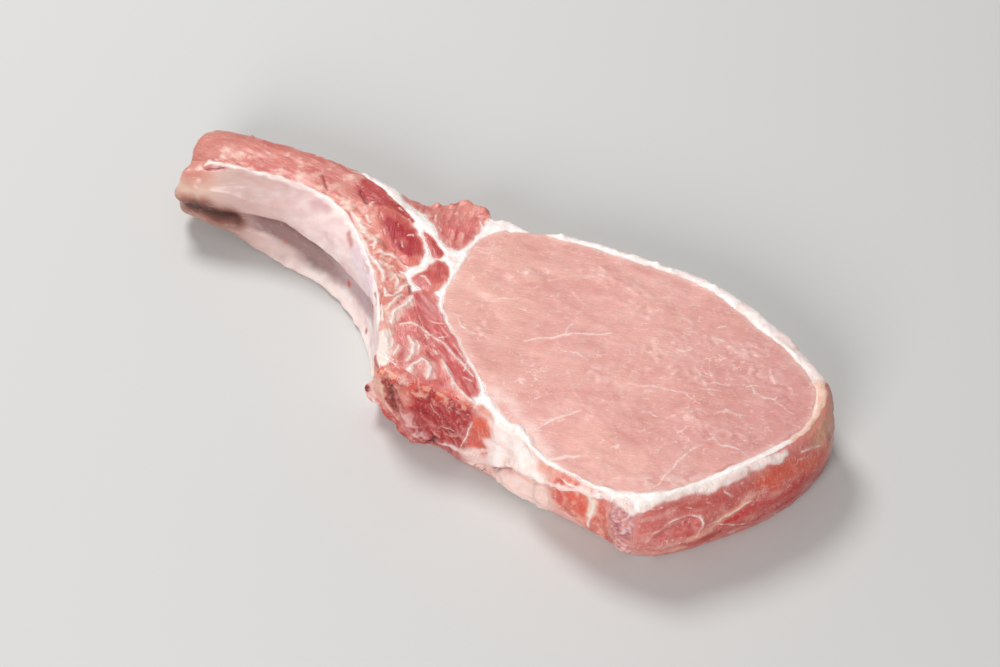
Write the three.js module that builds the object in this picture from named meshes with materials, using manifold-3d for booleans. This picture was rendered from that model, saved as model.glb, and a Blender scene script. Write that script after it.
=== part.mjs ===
// A raw pork rib chop: one slice through the loin, lying on its lower cut face.
// It holds the oval loin eye in its rim of fat, the curved rib bone that sticks out at one side under its
// membrane with a strip of meat along it, the sawn corner of the backbone, and the small muscles between rib
// and eye. Muscles and bones run through the whole thickness of the slice, and the fat fills what is left
// between them.
// Millimetres, +Z up, +X from the rib's tip to the far end of the eye, lower cut face on z = 0.

import * as THREE from "three";
import Module from "manifold-3d";
import { mergeVertices } from "three/addons/utils/BufferGeometryUtils.js";

// ---- Driving dimensions ----
const THICKNESS = 20; // between the two cut faces
const GAP = 0.3; // clearance between neighbouring pieces
const TOP_ROUND_HEIGHT = 2.6; // height over which the upper cut edge rounds into the wall
const FOOT_ROUND = 1.4; // rounding of the lower cut edge
const SKIN_MEAT = 1.3; // how far the wall muscles reach in from the upper cut edge

const RIB_HEIGHT = 21.4; // crest of the rib above the table
const RIB_BODY_HEIGHT = 20.2; // the same where it runs into the slice
const RIB_TIP_DROP = 2.6; // the crest falls this much at the tip
const TIP_LIFT = 4.6; // clearance under the rib's tip
const TIP_SKEW = 0.14; // the far side of the tip reaches further than the near side
const TIP_NOTCH = 6; // depth of the notch between bone and meat at the tip
const FOLD_DEPTH = 1.3; // of the crease under the fold of fat at the waist
const WALL_LUMPS = 0.45; // height of the soft lumps in the wall

const SLICE_RINGS = 6; // mesh rings across each cut face
const WALL_STEPS = 8; // mesh steps down the wall
const RIB_STEPS = 42; // mesh steps along the rib
const RIB_AROUND = 30; // mesh steps round the rib
const OUTLINE_STEP = 2.4; // length of the facets along a muscle's outline

// ---- Tables of shape ----
// Upper cut edge of the slice, anticlockwise from the sawn corner: x, y, then how far out from that edge the
// rounding carries the wall, how much further it bulges at half height, and how far it leans out at the foot.
const SLICE = [
  [-13, -37.5, 0.5, 0.8, -1.2],
  [-9, -39.6, 0.5, 0.6, -1.8],
  [-3, -39.6, 0.6, 0.8, 1.4],
  [3, -38, 0.6, 0.6, 1.4],
  [10, -38.6, 0.7, 0.8, 2.2],
  [18, -38.8, 0.8, 0.6, 2.6],
  [26, -40.4, 0.8, 0.4, 3.2],
  [33, -45, 0.8, 0.8, -0.8],
  [42, -47.4, 0.9, 0.8, -2.8],
  [51, -48, 1.0, 0.8, -2.2],
  [59, -47.4, 1.4, 1.8, -1.0],
  [65.5, -41.6, 1.6, 2.0, 0.6],
  [72.5, -33.6, 1.6, 2.2, 0.8],
  [80, -22.6, 1.6, 2.4, 1.4],
  [84.8, -12, 1.5, 2.4, 1.0],
  [86, -3, 1.5, 1.8, 0.4],
  [83, 4.2, 1.5, 1.2, -0.4],
  [75.4, 9.8, 1.5, 0.8, -0.8],
  [65.4, 15.4, 1.4, 0.8, -1.2],
  [52.6, 19.8, 1.4, 0.8, -1.4],
  [39, 22.2, 1.4, 0.8, -1.4],
  [24, 20.8, 1.3, 0.8, -1.4],
  [9, 20.6, 1.2, 0.6, -1.4],
  [0, 17.2, 1.1, 0.6, -1.2],
  [-7, 18.2, 1.1, 0.2, -1.2],
  [-11.6, 16.4, 1.0, 0, -0.8],
  [-15.4, 20.6, 1.6, 0, -2.2],
  [-18.6, 19.8, 1.6, 0, -1.8],
  [-21, 22.6, 1.6, 0, -2.6],
  [-24, 18.8, 1.6, 0, -1.6],
  [-29, 15.6, 2.0, 0, -1.2],
  [-36, 15, 2.0, 0, -1.2],
  [-39, 8, 0, 0, 0],
  [-32, -4, 0, 0, 0],
  [-25, -10, 0, 0, 0],
  [-20.4, -17, 0, 0, 0],
  [-18.2, -25, 0, 0, 0],
  [-16.2, -32.4, 0.3, 0.4, 0],
];
const SLICE_CENTRE = [34, -12];

// The rib from its tip into the slice: x, y of the crest, then distances out from it. They are the swell of the
// bone, the groove below it and the thin lower edge on the membrane side, then the back of the meat on the
// other.
const RIB = [
  [-95.6, 2.6, 6.6, 5.6, 4.0, 13],
  [-92.6, 2.2, 7.2, 6.4, 5.2, 14.2],
  [-89, 1.8, 7.4, 6.6, 5.8, 15.2],
  [-83, 2.0, 7.2, 6.8, 6.2, 15.2],
  [-76, 3.6, 7.0, 6.8, 6.8, 15.0],
  [-67, 5.0, 7.0, 7.0, 8.8, 14.4],
  [-58, 5.4, 7.4, 7.3, 10.6, 14.4],
  [-49.5, 4.0, 7.6, 7.2, 10.4, 15.8],
  [-42, 0.4, 6.4, 5.8, 8.8, 19],
  [-35, -5, 4.8, 4.8, 7.2, 15],
  [-29.5, -10.8, 3.2, 3.8, 5.4, 12],
  [-24.5, -17, 2.0, 2.8, 4.2, 9],
  [-20.5, -24, 1.2, 2.1, 3.0, 7],
  [-17, -30, 0.7, 1.5, 2.4, 5],
  [-14.6, -34, 0.4, 1.0, 1.6, 3],
];

// Outlines of the pieces on the upper cut face. Those that reach the wall run out past it.
const LOIN_EYE = [
  [-8, -14], [-10, -3], [-10, 11], [-1, 17], [10, 19], [25, 20], [41, 21], [50, 19], [64, 13], [77, 6.6],
  [82, 1], [84, -8], [80, -19], [72, -31], [64, -41.4], [57, -45.8], [44, -46.6], [34, -44.4], [27, -40.4],
  [20, -37.8], [15, -34.6], [8.6, -29], [-2, -20],
];
const CAP_MUSCLE = [
  [-37, 6.6], [-34, 8.4], [-29, 7], [-24, 3.6], [-21, 0], [-19.8, -4], [-21, -7], [-24, -6], [-28.6, -2.8],
  [-34, 1.8],
];
const WEDGE_MUSCLE = [[-24.6, 6], [-21, 4], [-17.6, 2], [-15.8, 0.2], [-17.6, -1.6], [-20.6, 1.6]];
const ROUND_MUSCLE = [
  [-19.4, -10.2], [-17.4, -6.4], [-17.6, -2.8], [-14.6, -1.2], [-12, -3], [-10.9, -7], [-11.2, -10.6],
  [-14.4, -12],
];
const FLAP_MUSCLE = [
  [-40, 26], [-36, 15.2], [-27, 11.2], [-20, 6.6], [-16, 3.8], [-13, 3.8], [-12.2, 7], [-12, 12], [-11.8, 26],
];
const STRIP_MUSCLE = [
  [-16.2, -13.2], [-11, -11.4], [-8.6, -15.4], [-5, -18.8], [-0.6, -22.4], [4.6, -27], [9.4, -31.4],
  [13, -35.6], [12.6, -37.2], [8.6, -36.2], [4.6, -33.4], [0.4, -29.4], [-4.6, -26.8], [-10, -22],
  [-14, -17.4],
];
const CORNER_MUSCLE = [[12.4, -48], [12.6, -39], [15, -37.6], [19, -38.8], [20.4, -48]];
const CHINE_BONE = [[-28, -33.4], [-16, -34], [-9, -36.4], [-2.4, -38], [-1, -48], [-28, -48]];
const BACK_MEAT = [
  [-31, -9], [-23, -8.9], [-19.4, -11.4], [-15.6, -14.4], [-13.4, -17.8], [-9.4, -22], [-4.4, -26.6],
  [0.8, -29.3], [5, -33.2], [9, -36.4], [13, -38], [13, -48], [-26, -48], [-30, -26],
];
const RIB_MEAT = [
  [-112, 40], [-112, -20], [-50, -20], [-32, -9], [-24, -8.6], [-20.6, -8.4], [-24, -4], [-28, 2],
  [-28.2, 7.6], [-33, 10.4], [-38, 12.4], [-43.4, 15], [-48.6, 17.6], [-50, 40],
];

// Muscles that show on the wall only: the rows of SLICE between which each one runs.
const FLANK_SPAN = [7.4, 9.2];
const KNOB_SPAN = [9.32, 9.9];
const SIDE_SPAN = [10.04, 16];
const UPRIGHT = [0, 0];
const FLANK_LEAN = [0.4, 3.4]; // the undercut wall carries these two inwards at the foot
const KNOB_LEAN = [-0.6, 2.4];

// ---- Curves and bodies ----
const clamp = THREE.MathUtils.clamp;
const mix = THREE.MathUtils.lerp;
const ramp = (x, low, high) => THREE.MathUtils.smoothstep(x, low, high);
const bump = (x, y, cx, cy, wide, deep) => Math.exp(-(((x - cx) / wide) ** 2) - (((y - cy) / deep) ** 2));

// Reads a table as smooth curves: the function it returns gives every column at t, from 0 to 1 along the
// table.
function tableCurve(table, closed) {
  const curves = [];
  for (let c = 0; c < table[0].length; c += 3) {
    const points = table.map((row) => new THREE.Vector3(row[c], row[c + 1] ?? 0, row[c + 2] ?? 0));
    curves.push(new THREE.CatmullRomCurve3(points, closed, "catmullrom", 0.5));
  }
  return (t) => curves.flatMap((curve) => curve.getPoint(t).toArray());
}

// Direction square to a table's path, on its right-hand side, at t.
function rightOf(at, t, closed) {
  const step = 0.004;
  const before = closed ? (t - step + 1) % 1 : Math.max(0, t - step);
  const after = closed ? (t + step) % 1 : Math.min(1, t + step);
  const [x0, y0] = at(before);
  const [x1, y1] = at(after);
  return new THREE.Vector2(y1 - y0, x0 - x1).normalize();
}

// A closed body: the points of a sphere's mesh moved to place(around, row), a pole at row 0 and at the last.
function mouldedSphere(aroundSteps, rows, place) {
  const geometry = new THREE.SphereGeometry(1, aroundSteps, rows);
  const position = geometry.getAttribute("position");
  for (let i = 0; i < position.count; i += 1) {
    const row = Math.floor(i / (aroundSteps + 1));
    const column = (i % (aroundSteps + 1)) % aroundSteps;
    const pole = row === 0 || row === rows;
    position.setXYZ(i, ...place(pole ? 0 : column / aroundSteps, row));
  }
  return solidFrom(geometry);
}

function solidFrom(geometry) {
  geometry.deleteAttribute("normal");
  geometry.deleteAttribute("uv");
  const merged = mergeVertices(geometry, 1e-4);
  const mesh = new wasm.Mesh({
    numProp: 3,
    vertProperties: merged.attributes.position.array,
    triVerts: new Uint32Array(merged.index.array),
  });
  return new wasm.Manifold(mesh);
}

// A cutter that passes through the whole slice. It has the given outline at the upper cut face and leans with
// height, so that at the foot the outline has moved by the given x and y.
function cutter(outline, [footX, footY]) {
  const depth = 3 * THICKNESS;
  const shape = new THREE.Shape(outline);
  const geometry = new THREE.ExtrudeGeometry(shape, { depth, steps: 1, bevelEnabled: false });
  const lean = new THREE.Matrix4();
  lean.set(1, 0, -footX / THICKNESS, 0, 0, 1, -footY / THICKNESS, 0, 0, 0, 1, 0, 0, 0, 0, 1);
  geometry.translate(0, 0, -2 * THICKNESS);
  geometry.applyMatrix4(lean);
  geometry.translate(0, 0, THICKNESS);
  return solidFrom(geometry);
}

// The outline moved outwards by a distance.
function grown(outline, distance) {
  const turn = Math.sign(THREE.ShapeUtils.area(outline));
  const count = outline.length;
  return outline.map((point, i) => {
    const along = outline[(i + 1) % count].clone().sub(outline[(i - 1 + count) % count]).normalize();
    return new THREE.Vector2(point.x + along.y * distance * turn, point.y - along.x * distance * turn);
  });
}

// A smooth closed outline through a few points.
function smoothOutline(points) {
  const through = points.map(([x, y]) => new THREE.Vector3(x, y, 0));
  const curve = new THREE.CatmullRomCurve3(through, true, "centripetal");
  const count = Math.max(14, Math.round(curve.getLength() / OUTLINE_STEP));
  return curve.getSpacedPoints(count).slice(0, count).map((p) => new THREE.Vector2(p.x, p.y));
}

// ---- The slice ----
const sliceAt = tableCurve(SLICE, true);
const SLICE_AROUND = 2 * SLICE.length;
const SLICE_ROWS = 2 * SLICE_RINGS + WALL_STEPS;

// Height of the upper cut face: a little proud over the eye, lower over the ragged flap and at the waist.
function upperFace(x, y) {
  const eye = 0.8 * bump(x, y, 44, -14, 46, 32);
  const flap = -2.6 * ramp(-x, 11, 24) * ramp(y, 8, 20);
  const waist = -1.2 * bump(x, y, 20, -41, 11, 6);
  const swells = 0.22 * Math.sin(0.17 * x + 0.9) * Math.cos(0.21 * y - 0.4);
  const ripples = 0.15 * Math.sin(0.33 * x - 0.27 * y);
  return THICKNESS + eye + flap + waist + swells + ripples;
}

// How far the wall stands out from the upper cut edge, at a height from 0 at the foot to 1 at that edge.
function wallShift(round, bulge, lean, height) {
  const overTop = Math.max(0, (height - 1) * THICKNESS + TOP_ROUND_HEIGHT) / TOP_ROUND_HEIGHT;
  const overFoot = Math.max(0, FOOT_ROUND - height * THICKNESS) / FOOT_ROUND;
  const rounded = round * Math.sqrt(1 - overTop ** 2) - FOOT_ROUND * (1 - Math.sqrt(1 - overFoot ** 2));
  return rounded + bulge * Math.sin(Math.PI * height) + lean * (1 - height) ** 1.5;
}

// Relief of the wall: a fold of fat that hangs over a crease at the waist, and soft lumps elsewhere.
function wallRelief(x, y, height) {
  const waist = bump(x, y, 27, -42, 10, 6);
  const fold = Math.exp(-(((height - 0.66) / 0.16) ** 2)) - 1.4 * Math.exp(-(((height - 0.42) / 0.1) ** 2));
  const lumps = Math.sin(0.42 * x + 4 * height) * Math.sin(0.36 * y - 3 * height + 0.6);
  const fade = Math.sin(Math.PI * height);
  return FOLD_DEPTH * waist * fold + WALL_LUMPS * lumps * fade;
}

function slicePoint(around, row) {
  const [x, y, round, bulge, lean] = sliceAt(around);
  const out = rightOf(sliceAt, around, true);
  const ring = Math.min(row, SLICE_ROWS - row, SLICE_RINGS) / SLICE_RINGS;
  const down = clamp((row - SLICE_RINGS) / WALL_STEPS, 0, 1);
  const height = 0.5 + 0.5 * Math.cos(Math.PI * down); // closer mesh steps near both edges
  const shift = wallShift(round, bulge, lean, height) + wallRelief(x, y, height);
  const px = mix(SLICE_CENTRE[0], x + out.x * shift, ring);
  const py = mix(SLICE_CENTRE[1], y + out.y * shift, ring);
  return [px, py, height * upperFace(px, py)];
}

// ---- The rib ----
const ribAt = tableCurve(RIB, false);
const [TIP_X, TIP_Y] = RIB[0];
const [ROOT_X, ROOT_Y] = RIB[RIB.length - 1];

// Section of the rib: distance from the crest towards the membrane side, and height. It goes over the meat,
// down its back, along the table and up the membrane side.
function ribSection(swell, groove, edge, back, crest, lift) {
  const points = [
    [0, crest], [-0.25 * back, crest + 0.3], [-0.55 * back, crest], [-0.8 * back, crest - 1.1],
    [-0.94 * back, crest - 3.6], [-back, 12], [-0.98 * back, 5], [-0.9 * back, 1.2], [-0.7 * back, 0],
    [edge - 2.6, 0], [edge - 0.5, 0.5], [edge, 1.5], [mix(groove, edge, 0.4), 3.4], [groove, 5.6],
    [mix(groove, swell, 0.5), 8.4], [swell, 12], [0.9 * swell, 15.8], [0.5 * swell, 19.2],
  ];
  const section = points.map(([n, z]) => new THREE.Vector3(n, mix(lift, crest, z / crest), 0));
  return new THREE.CatmullRomCurve3(section, true, "catmullrom", 0.5);
}

// A round end: 1 once this far from the end, falling to 0 at it.
const roundEnd = (distance, length) => Math.sqrt(1 - (1 - clamp(distance / length, 0, 1)) ** 2);

function ribPoint(around, row) {
  const t = row / RIB_STEPS;
  const [x, y, swell, groove, edge, back] = ribAt(t);
  const side = rightOf(ribAt, t, false);
  const fromTip = Math.hypot(x - TIP_X, y - TIP_Y);
  const fromRoot = Math.hypot(x - ROOT_X, y - ROOT_Y);
  const lift = TIP_LIFT * (1 - ramp(fromTip, 8, 30));
  const drop = RIB_TIP_DROP * (1 - ramp(fromTip, 0, 14));
  const crest = mix(RIB_HEIGHT, RIB_BODY_HEIGHT, ramp(t, 0.45, 0.75)) - drop;
  const section = ribSection(swell, groove, edge, back, crest, lift).getPoint(around);
  const size = Math.min(roundEnd(fromTip, 4), roundEnd(fromRoot, 2));
  const n = mix(0, section.x, size);
  const z = Math.max(mix(0.4 * crest, section.y, size), 0);
  const notch = TIP_NOTCH * bump(n, z, 2, 0.75 * crest, 6, 7) * (1 - ramp(fromTip, 0, 12));
  const along = TIP_SKEW * n * (1 - ramp(fromTip, 0, 30)) + notch;
  return [x + side.x * n - side.y * along, y + side.y * n + side.x * along, z];
}

// A soft nub of gristle at the foot of the sawn corner.
function cornerNub() {
  const geometry = new THREE.SphereGeometry(3, 14, 10);
  geometry.scale(0.8, 0.8, 1.35);
  geometry.translate(-15.4, -34.6, 6.4);
  return solidFrom(geometry);
}

// ---- Outlines of the pieces that follow a table ----
// Everything on the membrane side of the rib's crest.
function ribBoneOutline() {
  const crest = [];
  const outside = [];
  for (let i = 0; i <= RIB_STEPS; i += 1) {
    const t = i / RIB_STEPS;
    const [x, y] = ribAt(t);
    const side = rightOf(ribAt, t, false);
    crest.push(new THREE.Vector2(x, y));
    outside.push(new THREE.Vector2(x + side.x * 15, y + side.y * 15));
  }
  crest.unshift(new THREE.Vector2(TIP_X - 12, TIP_Y));
  outside.unshift(new THREE.Vector2(TIP_X - 12, TIP_Y - 15));
  return [...outside, ...crest.reverse()];
}

// A muscle in the slice's wall, between two rows of its table.
function wallOutline([from, to]) {
  const steps = Math.round((to - from) * 2) + 1;
  const inside = [];
  const outside = [];
  for (let i = 0; i <= steps; i += 1) {
    const t = mix(from, to, i / steps) / SLICE.length;
    const [x, y] = sliceAt(t);
    const out = rightOf(sliceAt, t, true);
    const depth = SKIN_MEAT * Math.sqrt(Math.sin(Math.PI * mix(0.06, 0.94, i / steps)));
    inside.push(new THREE.Vector2(x + out.x * (1 - depth), y + out.y * (1 - depth)));
    outside.push(new THREE.Vector2(x + out.x * 9, y + out.y * 9));
  }
  return [...outside, ...inside.reverse()];
}

// ---- Dividing the chop into its pieces ----
const wasm = await Module();
wasm.setup();

const PIECES = [
  ["rib_bone", ribBoneOutline(), 0xdcc3c2, 0.34, UPRIGHT],
  ["loin_eye", smoothOutline(LOIN_EYE), 0xdda398, 0.42, UPRIGHT],
  ["cap_muscle", smoothOutline(CAP_MUSCLE), 0xc5545a, 0.4, UPRIGHT],
  ["wedge_muscle", smoothOutline(WEDGE_MUSCLE), 0xc7605f, 0.4, UPRIGHT],
  ["round_muscle", smoothOutline(ROUND_MUSCLE), 0xc65f5c, 0.4, UPRIGHT],
  ["flap_muscle", smoothOutline(FLAP_MUSCLE), 0xcf776f, 0.42, UPRIGHT],
  ["strip_muscle", smoothOutline(STRIP_MUSCLE), 0xcc6f6b, 0.4, UPRIGHT],
  ["chine_bone", smoothOutline(CHINE_BONE), 0xb06a60, 0.5, UPRIGHT],
  ["corner_muscle", smoothOutline(CORNER_MUSCLE), 0xd27660, 0.42, UPRIGHT],
  ["back_meat", smoothOutline(BACK_MEAT), 0xcc6a62, 0.42, UPRIGHT],
  ["rib_meat", smoothOutline(RIB_MEAT), 0xd67f76, 0.42, UPRIGHT],
  ["flank_muscle", wallOutline(FLANK_SPAN), 0xd0705c, 0.4, FLANK_LEAN],
  ["knob_muscle", wallOutline(KNOB_SPAN), 0xc98a90, 0.5, KNOB_LEAN],
  ["side_muscle", wallOutline(SIDE_SPAN), 0xc46562, 0.4, UPRIGHT],
];
const FAT_COLOUR = 0xf2e3da;

function pieceMesh(name, solid, color, roughness) {
  const { numProp, vertProperties, triVerts } = solid.getMesh();
  const geometry = new THREE.BufferGeometry();
  geometry.setAttribute("position", new THREE.BufferAttribute(new Float32Array(vertProperties), numProp));
  geometry.setIndex(new THREE.BufferAttribute(new Uint32Array(triVerts), 1));
  geometry.computeVertexNormals();
  const mesh = new THREE.Mesh(geometry, new THREE.MeshStandardMaterial({ color, roughness, metalness: 0 }));
  mesh.name = name;
  return mesh;
}

const largest = (solid) => solid.decompose().sort((a, b) => b.volume() - a.volume())[0];

const chop = new THREE.Group();
chop.name = "pork_chop";
const slice = mouldedSphere(SLICE_AROUND, SLICE_ROWS, slicePoint);
const rib = mouldedSphere(RIB_AROUND, RIB_STEPS, ribPoint);
let rest = slice.add(rib).add(cornerNub());
for (const [name, outline, color, roughness, lean] of PIECES) {
  chop.add(pieceMesh(name, largest(rest.intersect(cutter(outline, lean))), color, roughness));
  rest = rest.subtract(cutter(grown(outline, GAP), lean));
}
chop.add(pieceMesh("fat", largest(rest), FAT_COLOUR, 0.38));

// The frame's origin is the middle of the footprint's box.
const box = new THREE.Box3().setFromObject(chop);
const middle = box.getCenter(new THREE.Vector3());
chop.position.set(-middle.x, -middle.y, -box.min.z);

export default chop;
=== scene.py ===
import math

import bmesh
import bpy
import numpy as np
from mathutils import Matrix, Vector
from mathutils.bvhtree import BVHTree


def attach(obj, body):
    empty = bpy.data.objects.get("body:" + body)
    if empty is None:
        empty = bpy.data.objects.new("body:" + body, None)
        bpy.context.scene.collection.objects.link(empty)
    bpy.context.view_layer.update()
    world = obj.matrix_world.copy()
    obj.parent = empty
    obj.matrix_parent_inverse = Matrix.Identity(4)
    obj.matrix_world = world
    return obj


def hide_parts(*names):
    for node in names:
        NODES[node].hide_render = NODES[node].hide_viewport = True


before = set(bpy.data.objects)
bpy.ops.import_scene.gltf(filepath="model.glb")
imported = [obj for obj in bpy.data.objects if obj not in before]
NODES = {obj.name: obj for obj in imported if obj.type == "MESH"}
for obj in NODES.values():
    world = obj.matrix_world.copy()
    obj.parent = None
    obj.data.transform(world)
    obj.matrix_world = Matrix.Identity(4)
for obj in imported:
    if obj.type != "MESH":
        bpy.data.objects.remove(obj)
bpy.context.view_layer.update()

# ---- Loin eye ----
# The big oval muscle of the chop, cut straight across its fibres: pale pink, fine grained and moist, with a
# few threads of fat in it. It has grown to the rim of fat all round, and the knife has left both faces
# nearly flat.

MM = 0.001
LEAN = [name for name in NODES if name != "fat"]

# In mm. The common skin closes the gaps between the solids by a swell of CLOSING. Each piece grows over its
# neighbours and dips under them within DIP_REACH of its border. Lean meat stands LEAN_RISE above the fat.
# FAR is past the reach of any thread, and NO_TISSUE past the reach of the white tissue at a border.
SKIN_GRAIN = 0.5
CLOSING = 1.0
GROWN_OVER = 1.8
DIP = 0.75
DIP_REACH = 0.75
LEAN_RISE = 0.17
FAR = 20.0
NO_TISSUE = 6.0
SMOOTHING_TIMES = 14


def one_mesh(name, nodes):
    """A new object holding the named solids in one mesh."""
    shape = bmesh.new()
    for node in nodes:
        shape.from_mesh(NODES[node].data)
    bmesh.ops.remove_doubles(shape, verts=shape.verts, dist=0.01 * MM)
    mesh = bpy.data.meshes.new(name)
    shape.to_mesh(mesh)
    shape.free()
    piece = bpy.data.objects.new(name, mesh)
    bpy.context.scene.collection.objects.link(piece)
    return piece


def moulded(piece, *steps):
    """Runs the piece through steps of ("REMESH", mm), ("DISPLACE", mm) or ("SMOOTH", times), and keeps the
    result."""
    for kind, amount in steps:
        work = piece.modifiers.new(kind.lower(), kind)
        if kind == "REMESH":
            work.mode = "VOXEL"
            work.voxel_size = amount * MM
        elif kind == "DISPLACE":
            work.mid_level = 0.0
            work.strength = amount * MM
        else:
            work.factor = 0.5
            work.iterations = amount
    worked = piece.evaluated_get(bpy.context.evaluated_depsgraph_get())
    mesh = bpy.data.meshes.new_from_object(worked)
    piece.modifiers.clear()
    piece.data = mesh
    mesh.polygons.foreach_set("use_smooth", [True] * len(mesh.polygons))
    return piece


def places_of(mesh):
    places = np.empty(len(mesh.vertices) * 3)
    mesh.vertices.foreach_get("co", places)
    return places.reshape(-1, 3) / MM


def search(mesh):
    """A search tree over the mesh, in mm."""
    faces = [polygon.vertices[:] for polygon in mesh.polygons]
    return BVHTree.FromPolygons(places_of(mesh).tolist(), faces)


def distance_to(points, tree, limit=7.0):
    find = tree.find_nearest
    found = [find(point, limit)[3] for point in points.tolist()]
    return np.array([limit if distance is None else distance for distance in found])


def search_nodes(nodes):
    helper = one_mesh("search", nodes)
    tree = search(helper.data)
    bpy.data.objects.remove(helper)
    return tree


def whole_skin():
    """The outside of the whole chop as one surface: the solids swelled until their gaps close, and shrunk
    back."""
    whole = one_mesh("whole", NODES)
    regrain = ("REMESH", SKIN_GRAIN)
    moulded(whole, regrain, ("DISPLACE", CLOSING), regrain, ("DISPLACE", -CLOSING),
            ("SMOOTH", SMOOTHING_TIMES))
    tree = search(whole.data)
    bpy.data.objects.remove(whole)
    return tree


SKIN = whole_skin()
FAT_TREE = search_nodes(["fat"])


def on_skin(points):
    """For each point: the nearest place on the skin, the direction out of it there, and the height above
    it."""
    find = SKIN.find_nearest
    found = [find(point) for point in points.tolist()]
    foot = np.array([hit[0] for hit in found])
    out = np.array([hit[1] for hit in found])
    return foot, out, ((points - foot) * out).sum(axis=1)


LATTICE = 32
LATTICE_SHIFT = 11.3


def lumps(points, size, seed):
    """Soft uneven bumps about this many mm apart, from -1 to 1."""
    table = np.random.default_rng(seed).uniform(-1, 1, (LATTICE, LATTICE, LATTICE))
    cell = points / size + LATTICE_SHIFT
    low = np.floor(cell).astype(int)
    part = cell - low
    part = part * part * (3 - 2 * part)
    total = np.zeros(len(points))
    for corner in np.ndindex(2, 2, 2):
        weight = np.prod(np.where(corner, part, 1 - part), axis=1)
        x, y, z = ((low + corner) % LATTICE).T
        total += weight * table[x, y, z]
    return total


def bumps(points, *waves):
    """Uneven relief in mm, the sum of several waves of bumps: for each a height, a size and a seed."""
    return sum(height * lumps(points, size, seed) for height, size, seed in waves)


def drawn_out(points, degrees, stretch):
    """The points in a frame where bumps come out longer by this much along a direction seen from above."""
    turn = math.radians(degrees)
    along = points[:, 0] * math.cos(turn) + points[:, 1] * math.sin(turn)
    across = points[:, 1] * math.cos(turn) - points[:, 0] * math.sin(turn)
    return np.stack([along / stretch, across, points[:, 2]], axis=1)


def step(value, low, high):
    """0 up to low, 1 from high on, smooth between."""
    share = np.clip((value - low) / (high - low), 0, 1)
    return share * share * (3 - 2 * share)


def fade(value, low, high):
    """1 up to low, 0 from high on, smooth between."""
    return 1 - step(value, low, high)


def frayed(points, reach=0.4, size=1.4, seed=31):
    """The points shifted unevenly, so that a patch measured from them gets a ragged outline."""
    return points + reach * np.stack([lumps(points, size, seed + axis) for axis in range(3)], axis=1)


def wandering(points, out):
    """The points shifted a little along the surface, so that what is measured from them gets an uneven
    border."""
    shift = frayed(points, 0.35, 1.7, 7) + frayed(points, 0.4, 6.5, 17) - 2 * points
    shift *= 1 + 1.8 * step(out[:, 1:2], 0.3, 0.7)
    return points + shift - (shift * out).sum(axis=1)[:, None] * out


def to_path(points, path):
    """Distance in mm from each point to the line through the path's places, and the share of the way along
    it. A path of x, y pairs runs through the whole thickness."""
    path = np.array(path, float)
    flat = points[:, :path.shape[1]]
    nearest = np.full(len(points), np.inf)
    along = np.zeros(len(points))
    run = 0.0
    lengths = np.linalg.norm(np.diff(path, axis=0), axis=1)
    for start, end, length in zip(path[:-1], path[1:], lengths):
        share = np.clip(((flat - start) @ (end - start)) / length**2, 0, 1)
        distance = np.linalg.norm(flat - (start + share[:, None] * (end - start)), axis=1)
        closer = distance < nearest
        nearest[closer] = distance[closer]
        along[closer] = (run + share[closer] * length) / lengths.sum()
        run += length
    return nearest, along


def threads(points, paths, seed, wander=0.3):
    """Distance to the nearest of the threads, in half-widths of it: below 1 is inside. A path is a half-
    width in mm and then its places. A thread tapers to both ends and wanders a little."""
    moved = frayed(frayed(points, wander, 1.6, seed), wander, 4.0, seed + 3)
    nearest = np.full(len(points), FAR)
    for half_width, *path in paths:
        distance, along = to_path(moved, path)
        taper = 0.3 + 0.7 * np.sqrt(np.clip(4 * along * (1 - along), 0, 1))
        nearest = np.minimum(nearest, distance / (half_width * taper))
    return nearest


def strewn(seed, count, x, y, length, half_width, degrees, spread=0.5):
    """Short bent threads strewn between two x and two y, lying roughly one way seen from above."""
    draw = np.random.default_rng(seed)
    bends = 3
    paths = []
    for _ in range(count):
        place = np.array([draw.uniform(*x), draw.uniform(*y)])
        heading = math.radians(degrees) + draw.normal(0, spread)
        path = [tuple(place)]
        for _ in range(bends):
            heading += draw.normal(0, 0.45)
            place = place + draw.uniform(*length) / bends * np.array([math.cos(heading), math.sin(heading)])
            path.append(tuple(place))
        paths.append((draw.uniform(*half_width), *path))
    return paths


def near(points, path, half_width, soft=0.6):
    """1 along the path, fading to 0 over the outer part of its half-width."""
    return fade(to_path(points, path)[0], half_width * (1 - soft), half_width)


def spot(points, place, radius, soft=0.6):
    """1 in a round patch, fading to 0 over its outer part."""
    place = np.array(place, float)
    distance = np.linalg.norm(points[:, :len(place)] - place, axis=1)
    return fade(distance, radius * (1 - soft), radius)


def patches(points, size, seed, low=0.0, high=0.4):
    """1 in scattered uneven patches, 0 between them."""
    return step(lumps(points, size, seed), low, high)


def grown(node, voxel):
    """The node's form swelled into its neighbours, as one close even mesh."""
    piece = one_mesh(node + "_flesh", [node])
    return moulded(piece, ("REMESH", voxel), ("DISPLACE", GROWN_OVER), ("REMESH", voxel), ("SMOOTH", 2))


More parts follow.
